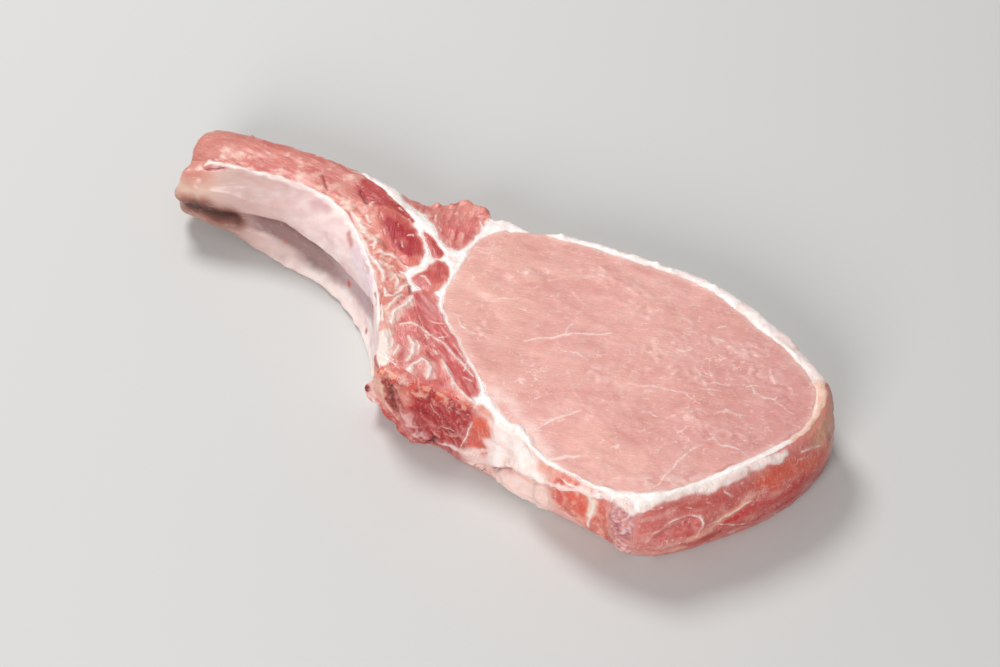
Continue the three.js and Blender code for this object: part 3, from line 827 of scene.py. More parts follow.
def bone_relief(points, out, *_):
    side = step(-out[:, 1], 0.1, 0.7)
    low = fade(points[:, 2], 1.5, 4.5)
    lift = -0.7 * groove_of(points, out)
    lift += side * bumps(drawn_out(points, 25, 4), (0.28, 2.6, 235), (0.12, 1.1, 236))
    lift += low * side * bumps(points * (1, 1, 0.4), (0.4, 2.0, 237))
    lift += 0.5 * spot(points, (-84.6, 10.3, 18.8), 4.0) + 0.6 * spot(points, (-85.8, 7.6, 13.5), 4.0)
    lift -= 0.4 * spot(points, (-85.4, 9.4, 16.4), 2.0, 1.0) + 0.6 * near(points, TIP_HOLLOW, 2.4, 0.9)
    lift += fade(points[:, 0], -84, -76) * bumps(points, (0.35, 2.4, 230))
    lift -= 0.45 * near(points, MEMBRANE_SLIT, 0.8, 0.9)
    lift += 0.35 * near(points, MEMBRANE_LIP, 0.9, 0.9)
    lift += 0.1 * fade(threads(points, BONE_THREADS, 238), 0.5, 2.4)
    return lift, 0.16 * crest_cover(points, out) - 0.3 * near(points, DARK_SEAM, 0.7, 0.9)


bone, foot, out, *_ = fitted("rib_bone", voxel=0.38, relief=bone_relief)
rough = frayed(foot, 0.8, 3.0, 239)
groove = groove_of(frayed(foot, 0.5, 2.0), out)
ledge = np.interp(foot[:, 0], LEDGE_X, LEDGE_Z)
tip = fade(rough[:, 0], -84, -72)
mark(bone, thread=threads(foot, BONE_THREADS, 238), tissue=0.0)
wash(
    bone, (238, 217, 214),
    ((226, 198, 198), 0.7 * patches(drawn_out(foot, 25, 2), 3.4, 240)),
    ((246, 232, 226), 0.6 * patches(drawn_out(foot, 25, 3), 2.2, 228, 0.1, 0.5)),
    ((248, 234, 228), 0.9 * fade(rough[:, 2], 3.2, 5.6)),
    ((226, 206, 212), 0.8 * near(rough, [(-33, 5.8, 19), (-27.4, 0.6, 18), (-22.6, -5, 15)], 4.0)),
    # The groove under the swell: brownish-mauve, partly its own colour and partly painted shade, with
    # painted shadow darkest just below the ledge.
    ((146, 114, 110), 0.95 * groove),
    ((124, 88, 82), 0.85 * groove * step(foot[:, 2], ledge - 4.4, ledge - 0.4)
     * fade(foot[:, 0], -50, -34)),
    ((208, 178, 184), 0.6 * groove * step(foot[:, 0], -50, -34)),
    ((216, 178, 178), 0.7 * spot(rough, (-59.5, 15.7, 19.8), 2.6, 1.0)),
    ((212, 172, 174), 0.8 * near(rough, [(-51.0, 14.8, 19.7), (-46.8, 14.6, 20.2)], 2.6, 1.0)),
    ((214, 174, 174), 0.7 * near(rough, [(-72.8, 14.8, 20.3), (-66.4, 15.6, 20.3)], 1.7, 1.0)),
    ((196, 132, 126), 0.9 * near(rough, [(-38.0, 9.8, 19.9), (-36.2, 7.6, 19.3)], 1.6, 0.9)),
    ((208, 166, 170), 0.7 * near(rough, [(-29.8, 3.8, 19.6), (-27.4, 1.0, 19.0)], 1.3, 0.9)),
    ((200, 166, 158), 0.8 * fade(rough[:, 0], -70, -44) * (1 - groove)),
    ((222, 188, 168), 0.85 * tip),
    ((222, 176, 156), 0.7 * tip * patches(rough, 2.6, 227, 0.0, 0.4)),
    # The low left end under the tip's overhang: partly the bone's brown, partly painted shade.
    ((172, 128, 114), 0.9 * fade(rough[:, 0], -78, -64) * fade(rough[:, 2], 8.0, 10.5)),
    ((204, 144, 118), 0.85 * near(rough, TIP_EDGE, 3.0, 1.0)),
    # The hollow under the tip: partly brown bone, partly painted shadow, near black at its middle.
    ((124, 64, 50), 0.95 * near(rough, TIP_HOLLOW, 5.6, 0.8)),
    ((62, 28, 22), 0.9 * near(rough, TIP_HOLLOW, 3.4, 1.0)),
    ((204, 132, 118), 0.85 * fade(rough[:, 0], -83.0, -77.0) * step(rough[:, 2], 16.6, 19.4)),
    ((196, 126, 122), 0.9 * near(frayed(foot), MEMBRANE_SLIT, 1.1, 0.6)),
    ((168, 74, 76), 0.9 * near(frayed(foot, 0.2), MEMBRANE_SLIT, 0.5, 0.7)),
    ((250, 226, 204), near(frayed(foot, 0.3), MEMBRANE_LIP, 0.8, 0.6)),
    # The crest: the membrane's white edge with a painted highlight on the ridge.
    ((252, 243, 236), 0.95 * crest_cover(foot, out)),
    ((170, 130, 142), 0.9 * near(frayed(foot, 0.2), DARK_SEAM, 0.55, 0.8)),
    ((176, 112, 100), 0.8 * spot(frayed(foot), (-58.5, 11.4, 6.1), 1.1)),
    ((186, 96, 78), 0.95 * spot(frayed(foot), (-36.6, 5.2, 6.8), 1.3)),
    ((178, 92, 76), 0.9 * spot(frayed(foot), (-26.2, -4.4, 3.8), 1.2)),
    ((214, 174, 168), 0.5 * spot(rough, (-61.4, 12.7, 16.9), 2.2, 0.9)),
)
BONE_MATERIAL, tree, shader, place, own = moist_material("membrane", 0.3)
grain = use(tree, LEAN_GRAIN, {"Vector": place, "Turn": -0.4, "Bundle": 300.0})
mottle = times(tree, minus(tree, 1.0, grain["Tone"]), 0.4)
colour = blend(tree, mottle, own, paint(226, 192, 194), "MULTIPLY")
colour = blend(tree, times(tree, grain["Strands"], 0.12), colour, paint(252, 242, 238))
white = clinging(tree, place, stored(tree, "thread"), reach=0.75, soft=0.5)
colour = blend(tree, times(tree, white, 0.7), colour, paint(252, 246, 242))
height = plus(tree, times(tree, grain["Height"], 0.4), times(tree, white, 0.4))
dress(tree, shader, place, colour, height, bump=0.12, dull=0.46, glossy=0.3, wet=0.12)
finished(bone, "rib_bone", BONE_MATERIAL)

# ---- Rib meat ----
# The strip of meat on the outer side of the rib. Its fibres run along the bone, with creamy blots of fat
# between them, and it is deeper red where it broadens into the chop. Along the crest it frays into lobes
# and curls of fat.

CURLS = [
    (0.50, (-40.9, 15.7), (-38.2, 13.9), (-35.5, 12.0), (-34.4, 13.0)),
    (0.42, (-32.2, 11.9), (-30.4, 10.2), (-29.6, 7.6)),
    (0.45, (-36.2, 10.6), (-32.9, 8.3), (-28.6, 5.0), (-24.5, 2.0), (-22.3, -0.6)),
    (0.36, (-27.8, 6.8), (-25.2, 8.0), (-23.8, 8.0)),
    (0.42, (-24.0, 8.0), (-20.7, 6.1), (-18.4, 5.0), (-17.2, 4.0)),
    (0.30, (-21.0, -2.4), (-19.4, -4.6), (-17.9, -4.4)),
    (0.34, (-17.9, -4.4), (-17.4, -2.4), (-17.0, -0.1), (-16.6, 1.3)),
    (0.40, (-13.7, -12.0), (-15.1, -8.8), (-14.2, -6.1)),
    (0.46, (-14.2, -6.1), (-13.5, -3.7), (-13.8, -1.6)),
    (0.30, (-17.1, -7.9), (-16.8, -4.9), (-16.0, -2.7)), (0.28, (-20.6, 2.8), (-18.8, 0.6), (-18.4, -1.8)),
    (0.34, (-36.9, 16.6), (-34.6, 14.8)), (0.24, (-26.4, 4.6), (-24.6, 4.0)),
    (0.26, (-19.0, -7.6), (-17.6, -9.8), (-16.4, -12.4)), (0.30, (-31.2, 8.2), (-29.4, 9.6)),
]
RIB_BLOTS = [
    (-80.0, 20.6, 1.6), (-79.1, 18.4, 1.3), (-76.3, 19.8, 1.7), (-59.6, 23.4, 0.9), (-58.0, 20.7, 1.5),
    (-54.6, 22.9, 1.3), (-63.9, 19.9, 1.0), (-48.8, 20.6, 1.6), (-46.7, 26.6, 1.4), (-65.3, 26.2, 0.7),
    (-72.9, 21.2, 0.8), (-51.7, 18.5, 1.2), (-44.0, 18.0, 1.1), (-69.6, 24.6, 0.6), (-61.6, 26.8, 0.6),
    (-53.0, 26.6, 0.7), (-41.6, 17.2, 1.3), (-58.2, 25.6, 0.6),
]
RIB_SLITS = [
    (0.42, (-42.3, 23.4), (-40.3, 21.7), (-38.1, 19.9)),
    (0.22, (-53.2, 23.9), (-51.4, 21.4), (-49.4, 19.2)),
]
RIB_THREADS = [
    (0.42, (-38.0, 20.9), (-37.2, 20.4)), (0.30, (-38.2, 20.2), (-36.6, 19.4)),
    (0.34, (-33.9, 18.6), (-32.6, 17.8)), (0.30, (-27.6, 21.4), (-26.8, 20.6)),
    (0.26, (-31.2, 22.9), (-30.4, 22.4)),
] + CURLS
CURLY_LINE = [(-42, 16.5), (-33, 11), (-27, 6.5), (-21.5, 1.5), (-18, -3.5), (-16, -9)]
BACK_BAND = [(-80, 29.6, 17), (-66, 31.5, 17), (-52, 32, 17), (-44, 29, 17)]
BACK_FRINGE = [(-66, 31.2, 19.6), (-55, 31.0, 20), (-49, 30.8, 19.8), (-41, 29.6, 20)]


def curly_zone(points):
    """1 between the crest and the dark muscle, where lobes and curls of fat lie over the meat."""
    return near(frayed(points, 1.2, 3.0, 241), CURLY_LINE, 5.6, 0.7)


def curly_relief(points):
    """The relief of the lobes and curls."""
    curl = threads(points, CURLS, 243, 0.5)
    lobes = bumps(frayed(points, 0.6, 1.3, 242), (0.3, 1.3, 244), (0.26, 2.6, 245))
    return 0.2 * fade(curl, 0.3, 2.0) + curly_zone(points) * lobes


def curly_wash(points):
    """The colours of the lobes and curls, shared by the two muscles that they lie on."""
    zone = curly_zone(points)
    ragged = frayed(points, 0.8, 1.3, 246)
    curl = threads(points, CURLS, 243, 0.5)
    return [
        ((226, 146, 130), 0.85 * zone),
        ((246, 214, 198), 0.85 * zone * patches(drawn_out(ragged, -52, 1.6), 1.7, 247, 0.0, 0.35)),
        ((204, 98, 90), 0.75 * zone * patches(ragged, 2.2, 248, 0.1, 0.45)),
        ((249, 226, 214), 0.75 * fade(curl, 0.7, 2.4)),
    ]


def rib_meat_relief(points, out, *_):
    lift = bumps(drawn_out(points, -8, 3), (0.14, 1.1, 249))
    lift += bumps(drawn_out(points, -8, 1.6), (0.18, 2.6, 250))
    lift -= 0.6 * fade(threads(points, RIB_SLITS, 251, 0.2), 0.3, 1.6)
    for x, y, radius in RIB_BLOTS:
        lift += 0.1 * spot(points, (x, y), 1.2 * radius, 0.9)
    lift += 0.7 * spot(points, (-77.5, 28.8, 19.5), 1.0, 1.0)
    return lift, 0.16 * crest_cover(points, out) + curly_relief(points)


rib_meat, foot, out, _, seam = fitted("rib_meat", voxel=0.37, relief=rib_meat_relief)
ragged = frayed(foot, 1.0, 1.1, 252)
blots = np.max([spot(ragged, (x, y), 1.6 * radius, 0.9) for x, y, radius in RIB_BLOTS], axis=0)
blots *= step(foot[:, 2], 8, 16)
lengthwise = drawn_out(frayed(foot, 0.6, 3.0), -8, 3)
slits = threads(foot, RIB_SLITS, 251, 0.2)
mark(rib_meat, thread=threads(foot, RIB_THREADS, 243, 0.5), tissue=0.0)
wash(
    rib_meat, (223, 145, 133),
    ((234, 172, 158), 0.75 * patches(lengthwise, 1.1, 254, 0.0, 0.45)),
    ((204, 104, 98), 0.65 * patches(lengthwise, 1.3, 255, 0.05, 0.45)),
    ((212, 116, 106), 0.5 * patches(foot, 4.0, 257, 0.0, 0.4)),
    ((210, 136, 122), 0.85 * fade(ragged[:, 0], -86, -74)),
    ((190, 62, 64), 0.95 * near(ragged, [(-41.5, 25), (-36.0, 23.2), (-29.5, 21.8), (-26, 21)], 4.6, 0.7)),
    ((190, 78, 80), 0.6 * near(ragged, [(-37.0, 23.6), (-30.5, 22.6)], 2.0, 0.9)),
    ((242, 198, 178), 0.7 * near(ragged, BACK_BAND, 2.2, 0.9)),
    ((250, 232, 220), 0.85 * near(ragged, BACK_FRINGE, 1.2, 0.7) * patches(foot, 1.3, 258, -0.1, 0.3)),
    ((212, 142, 126), 0.55 * step(-out[:, 0], 0.3, 0.8)),
    ((204, 132, 118), 0.8 * near(ragged, [(-90, 16.0), (-84, 16.4), (-79, 17.0)], 2.4, 0.9)),
    ((206, 112, 104), 0.7 * near(ragged, [(-82, 15.6), (-76, 17.4), (-68, 18.9), (-60, 19.6)], 1.2, 0.9)),
    *curly_wash(foot),
    ((246, 214, 198), 0.7 * blots),
    ((160, 56, 62), 0.85 * fade(slits, 0.4, 1.5)),
    # The crest: the membrane's white edge with a painted highlight on the ridge.
    ((252, 240, 230), 0.95 * crest_cover(foot, out)),
    ((222, 124, 110), 0.7 * fade(seam, 0.0, 1.8) * near(foot, [(-37, 21), (-22, 6)], 6)),
)
finished(rib_meat, "rib_meat", meat_material(
    "rib meat", pale=(244, 206, 190), turn=0.1, lines=0.3, contrast=0.7, flecks=0.5, veins=0.4, seam=0.15,
    thread=0.55, bump=0.19, glossy=0.3))

# ---- Strip ----
# A long narrow muscle between the eye and the back. It is cut along its fibres, so fine pale lines run down
# it side by side, and it shines a little bluish at its upper end.

LONG_THREAD = [(-7.3, -9.9), (-4.3, -10.9), (-0.4, -11.8), (3.4, -14.2), (7.4, -15.9), (11.6, -18.2)]
STRIP_THREADS = [
    (0.40, *LONG_THREAD), (0.26, (9.0, -19.1), (12.1, -19.2)), (0.18, (-3.4, -7.2), (0.6, -9.6)),
    (0.18, (-1.0, -6.8), (3.2, -9.8), (6.6, -12.4)), (0.18, (1.6, -10.6), (6.4, -13.8), (9.4, -16.4)),
] + strewn(260, 16, (-9, 9), (-16, -4), (2, 5), (0.14, 0.22), -36, 0.1)


def strip_relief(points, *_):
    lift = bumps(drawn_out(points, -38, 5), (0.14, 0.7, 261))
    lift += bumps(drawn_out(points, -38, 3), (0.14, 1.8, 262))
    return lift + 0.08 * fade(threads(points, STRIP_THREADS, 263), 0.3, 2.0), 0.0


strip, foot, _, fat, _ = fitted("strip_muscle", voxel=0.32, relief=strip_relief)
lengthwise = drawn_out(frayed(foot, 0.3), -38, 6)
mark(strip, thread=threads(foot, STRIP_THREADS, 263), tissue=0.6 * patches(foot, 2.4, 264, -0.2, 0.4))
wash(
    strip, (202, 84, 82),
    ((208, 130, 130), 0.8 * near(foot, [(-10.2, -1.6), (-6.4, -4.6)], 3.2, 0.8)),
    ((230, 146, 136), 0.5 * patches(lengthwise, 0.7, 265, 0.0, 0.45)),
    ((190, 78, 80), 0.6 * patches(lengthwise, 1.0, 266, 0.1, 0.5)),
    ((242, 204, 194), 0.6 * fade(fat, 0.0, 1.4)),
)
finished(strip, "strip_muscle", meat_material(
    "strip meat", pale=(244, 204, 194), turn=0.66, lines=0.14, contrast=0.6, strands=0.28, flecks=0.25,
    thread=0.5, glossy=0.32))

# ---- Back meat ----
# The meat beside the backbone. Above it is cut across and marbled with curls and loops of fat that run
# together at the sawn corner; its sawn wall is darker red, crossed by pale broken streaks.

BACK_THREADS = [
    (0.55, (-8.3, -13.5), (-6.4, -15.5), (-5.2, -18.5), (-4.9, -20.6)),
    (0.26, (-5.9, -14.0), (-4.3, -16.6)), (0.75, (-2.6, -26.2), (-3.2, -24.2), (-3.0, -21.4)),
    (0.42, (-3.0, -21.4), (-2.0, -18.9), (-0.2, -18.8)),
    (0.62, (-0.4, -19.0), (0.9, -20.4), (1.4, -22.6), (1.5, -23.6)), (0.34, *LONG_THREAD),
    (0.32, (2.2, -16.8), (4.7, -18.9), (6.8, -20.5)),
    (0.62, (6.8, -20.5), (8.6, -21.6), (12.0, -23.9), (15.9, -24.8)),
    (0.50, (-15.1, -14.8), (-12.6, -17.2), (-10.6, -19.8)), (0.26, (-9.6, -16.6), (-8.6, -20.2)),
    (0.22, (-11.7, -15.5), (-10.3, -18.9)), (0.20, (-4.9, -15.0), (-3.8, -18.0)),
    (0.24, (-12.0, -11.0), (-9.4, -9.6), (-7.6, -9.7)), (0.22, (-13.4, -13.4), (-11.8, -15.2)),
    (0.18, (2.6, -20.8), (3.6, -22.8)), (0.20, (-1.2, -14.2), (0.8, -15.8)),
]
WALL_STRANDS = [
    (0.20, (15.7, 15.8), (14.9, 12.9), (14.4, 9.4), (13.2, 6.6)),
    (0.24, (42.6, 18.8), (46.6, 18.9), (51.2, 19.0)),
    (0.34, (50.6, 18.0), (50.9, 14.0), (50.2, 9.4), (49.6, 4.0)),
    (0.13, (4.0, 15.7), (5.4, 13.2), (7.1, 12.3)), (0.11, (7.3, 10.3), (9.4, 10.5), (11.4, 9.9)),
    (0.16, (0.2, 5.6), (1.6, 3.8)), (0.22, (-13.0, 7.0), (-12.2, 5.4), (-11.2, 4.6)),
]
WALL_STREAKS = [
    (0.26, (0.6, 17.2), (2.6, 17.8), (4.6, 18.2)), (0.36, (4.0, 15.7), (5.4, 13.2), (7.1, 12.3)),
    (0.24, (8.7, 17.3), (9.5, 15.2)), (0.28, (2.8, 10.0), (5.0, 8.6), (7.0, 7.4)),
    (0.30, (7.3, 10.3), (9.4, 10.5), (11.4, 9.9)), (0.24, (5.8, 16.4), (7.6, 14.6)),
    (0.22, (9.6, 13.0), (11.2, 11.8)), (0.22, (3.4, 13.0), (4.8, 11.0)),
    (0.45, (15.7, 15.8), (14.7, 12.9), (14.1, 9.4), (13.2, 6.6)),
    (0.26, (-13.0, 7.0), (-12.2, 5.4), (-11.2, 4.6)), (0.3, (-2.4, 16.6), (-0.6, 15.6)),
    (0.28, (-15.2, 10.6), (-14.6, 9.4)), (0.22, (-3.4, 12.4), (-2.0, 10.4)),
    (0.18, (17.0, 14.0), (17.8, 10.6)), (0.3, (0.2, 5.6), (1.6, 3.8)),
    (0.8, (48.0, 18.4), (50.8, 17.6), (51.0, 13.0), (50.4, 9.0)),
    (0.24, (42.6, 18.8), (46.6, 18.9), (51.2, 19.0)), (0.42, (39.6, 17.0), (42.4, 16.2), (43.4, 12.4)),
    (0.22, (43.4, 12.4), (43.0, 8.6)), (0.24, (44.6, 17.2), (49.0, 17.0)), (0.26, (40.0, 9.1), (41.8, 6.0)),
    (0.20, (46.6, 9.0), (48.0, 6.4)), (0.2, (53.8, 17.6), (55.2, 15.2)),
    (0.26, (58.4, 17.0), (59.6, 14.8), (59.0, 12.8)), (0.22, (60.6, 15.2), (61.4, 12.4)),
    (0.24, (57.8, 11.4), (58.8, 9.0)), (0.20, (60.0, 10.6), (61.0, 8.4)), (0.22, (58.2, 6.4), (60.4, 4.6)),
]
CREASE = [
    (17.0, 1.8), (19.1, 2.2), (21.1, 2.9), (24.5, 5.6), (27.3, 6.7), (31.4, 7.6), (35.7, 10.4),
    (39.6, 12.0),
]
CORD = [
    (26.4, 8.6), (28.6, 10.4), (32.0, 12.8), (35.2, 13.9), (38.0, 14.6), (41.1, 15.8), (44.9, 17.6),
    (48.7, 18.9), (52.5, 19.2),
]
LEFT_FOLD = [(14.6, 4.6), (19.2, 5.2), (23.6, 6.9)]
HANGING_FOLD = [(25.6, 3.4), (30.0, 2.6), (34.8, 5.2)]
UNDER_CORD = [(32.4, 9.4), (36.2, 10.6), (39.8, 12.0)]
WHITE_LOBE = [(20.6, 15.4), (23.6, 18.0), (27.0, 18.6)]
KNOT = [(58.6, 15.6), (58.8, 4.4)]
UNDER_BLOCK = [(4.9, 2.6), (8.0, 3.8), (10.5, 5.0), (14.0, 5.7), (18.0, 7.6), (21.0, 9.6)]
BONE_RIND = [(-9.7, 18.9), (-8.9, 14.6), (-7.3, 9.4), (-4.8, 6.4)]
SPONGY = [(-7.2, 19.0), (-6.2, 16.4), (-5.2, 13.0), (-4.4, 9.6)]
CUSHION = [(-1.4, 10.0), (0.5, 7.4), (1.8, 4.4)]
NUB = [(-15.0, 10.4), (-14.2, 7.4), (-13.0, 5.4)]
BLOOD = (-14.3, -23.3, 8.2)
BLOCK_EDGE = [
    (-9.2, -25.6), (-6.2, -26.0), (-2.6, -26.9), (0.7, -26.2), (4.3, -25.7), (7.6, -25.4), (10.5, -25.1),
    (13.6, -25.8),
]
DARK_GAP = [(4.4, 1.6), (5.4, 3.6)]
CORD_END = [(49.6, 18.4), (51.2, 17.2), (50.9, 14.2), (50.0, 10.2)]
PALE_CORNER = [(-15.6, -9), (-14.4, -14), (-12.4, -18.4), (-10, -21.4)]
BONE_END = [(-13.6, -16.4, 20), (-12.0, -19.4, 20), (-10.4, -22.4, 20), (-10.6, -24.6, 20)]
BLOCK_TOP = [(-7.0, -23.4, 20), (-5.6, -24.4, 20), (-0.6, -25.0, 20)]
SPONGE_BROWN = (158, 50, 42)
GRISTLE = (204, 126, 118)
BLOCK_RED = (182, 34, 38)
SOFT_WHITE = (250, 236, 231)
FOLD_PINK = (240, 214, 207)
PALE_MEAT = (232, 154, 136)

# Patches of tissue on the near wall: x, z, size and colour. More sharpness makes their borders crisper.
PATCH_SHARPNESS = 4.5
WALL_TISSUES = [
    (-14.2, 8.0, 2.6, (240, 206, 202)), (-12.2, 3.6, 2.2, (208, 84, 84)),
    (-9.6, 14.0, 1.6, (226, 172, 152)), (-8.0, 9.0, 1.4, (226, 164, 146)), (-6.4, 17.0, 2.4, SPONGE_BROWN),
    (-5.4, 12.2, 2.2, SPONGE_BROWN), (-7.2, 5.0, 2.2, (196, 78, 72)), (-3.0, 2.2, 1.6, (190, 74, 70)),
    (-2.4, 15.4, 1.8, (222, 134, 118)), (0.2, 8.4, 2.8, GRISTLE), (1.8, 3.8, 2.6, GRISTLE),
    (3.4, 14.6, 3.0, BLOCK_RED), (8.2, 10.6, 3.6, BLOCK_RED), (11.2, 15.4, 3.2, (182, 44, 48)),
    (12.0, 8.6, 2.0, (204, 92, 84)), (6.4, 6.2, 2.0, (214, 112, 104)), (18.6, 14.6, 2.4, (224, 104, 78)),
    (17.0, 9.6, 2.0, (216, 104, 88)), (12.0, 2.4, 3.0, FOLD_PINK), (18.0, 3.6, 3.0, FOLD_PINK),
    (22.6, 9.0, 2.6, SOFT_WHITE), (26.0, 15.6, 5.0, SOFT_WHITE), (33.0, 15.0, 4.2, SOFT_WHITE),
    (28.0, 2.6, 3.6, FOLD_PINK), (36.0, 5.0, 3.6, (236, 206, 196)), (37.2, 18.2, 1.8, (238, 168, 150)),
    (41.6, 12.6, 2.4, (218, 88, 74)), (40.6, 18.8, 1.4, (240, 176, 158)),
    (46.8, 12.4, 3.6, (228, 120, 102)), (44.4, 4.4, 2.6, PALE_MEAT), (51.0, 19.4, 1.2, SOFT_WHITE),
    (53.4, 11.6, 3.2, PALE_MEAT), (52.6, 3.6, 2.6, (214, 130, 116)), (58.6, 13.4, 3.0, (206, 144, 144)),
    (58.8, 5.4, 3.2, (216, 152, 146)), (66.0, 12.0, 3.4, (218, 142, 134)),
]


def facing_wall(points):
    """The points as seen square to the near wall: x, then z."""
    return points[:, [0, 2, 1]] * (1, 1, 0)


def wall_share(points, out):
    """1 on the near side wall of the chop, from the backbone to the knot of tissue; 0 elsewhere."""
    return on_wall(out) * step(-points[:, 1], 18, 22) * fade(points[:, 0], 60.5, 64)


def wall_strands(points):
    """Distance to the white strands on the wall, in half-widths."""
    return threads(facing_wall(points), WALL_STRANDS, 276, 0.25)


SIDE_RIM = [
    (49.0, -34.4, 20.4), (55.4, -34.8, 20.4), (58.0, -35.8, 19.6), (60.4, -36.0, 19.4), (62.6, -34.4, 20.6),
    (66.0, -31.0, 21.0), (69.0, -27.4, 21.0), (73.0, -23.4, 21.0), (77.4, -18.6, 21.0), (81.6, -12.6, 21.0),
    (85.2, -6.6, 20.8),
]


def rim_cover(points):
    """The white rim of fat that turns down over the far end of the wall, with a soft uneven lower edge."""
    return near(frayed(frayed(points, 0.7, 1.5, 316), 0.7, 3.4, 317), SIDE_RIM, 2.1, 0.6)


def knot_ridges(points):
    """The crumples of the knot of tissue, from about -1 to 1."""
    return bumps(frayed(points, 0.7, 1.5, 268), (0.7, 0.9, 297), (0.6, 0.55, 298))


# Ridges and grooves of the wall: height in mm, path, half-width and softness.
WALL_FOLDS = [
    (-1.2, CREASE, 1.5, 1.0), (-0.7, UNDER_CORD, 1.8, 1.0), (0.9, CORD, 1.7, 0.9),
    (0.9, LEFT_FOLD, 2.6, 0.9), (0.8, HANGING_FOLD, 3.2, 1.0), (0.9, WHITE_LOBE, 3.2, 1.0),
]
WALL_KNOBS = [
    (0.8, KNOT, 4.6, 1.0), (0.35, BONE_RIND, 1.0, 0.9), (1.0, CUSHION, 3.4, 1.0), (0.8, NUB, 1.8, 1.0),
    (0.4, UNDER_BLOCK, 1.4, 1.0), (-0.9, DARK_GAP, 1.4, 1.0),
]


def wall_relief(points, out):
    """The folds, sawn edges and knots of the near wall. It is one torn surface, whatever lies behind it."""
    face = facing_wall(points)
    loose = frayed(face, 0.5, 2.2, 338)
    x = points[:, 0]
    sawn = fade(x, 15, 19)
    soft = step(x, 16, 20) * fade(x, 36, 40)
    lift = sawn * (bumps(frayed(points, 0.7, 1.5, 268), (0.25, 1.3, 274), (0.4, 2.6, 275))
                   + bumps(drawn_out(face, -50, 3), (0.3, 0.9, 337)))
    hanging = bumps(points * (0.4, 0.4, 1), (0.4, 1.4, 325))
    hanging += bumps(points * (0.6, 0.6, 1), (0.7, 3.0, 326))
    muscle = bumps(face * (1, 0.5, 1), (0.22, 1.1, 342)) + bumps(face * (1, 0.6, 1), (0.35, 3.0, 292))
    lift += soft * hanging + (1 - sawn) * (1 - soft) * muscle
    lift += 0.5 * near(frayed(face), KNOT, 3.6, 0.4) * knot_ridges(points)
    lift += 0.22 * fade(threads(face, WALL_STREAKS, 276, 0.25), 0.3, 2.2)
    lift -= 0.5 * near(face, SPONGY, 1.8, 0.7) * patches(points, 0.9, 281, 0.0, 0.4)
    for where, forms in ((face, WALL_KNOBS), (loose, WALL_FOLDS)):
        for rise, path, half_width, softness in forms:
            lift += rise * near(where, path, half_width, softness)
    edge = 0.16 * (1 - on_wall(out)) * near(frayed(points), BLOCK_EDGE, 1.0, 0.9)
    rim = rim_cover(points) * (0.2 + bumps(points, (0.2, 1.4, 339)))
    return wall_share(points, out) * lift + edge + rim


def ragged_top(points):
    return frayed(points, 0.6, 1.4, 290)


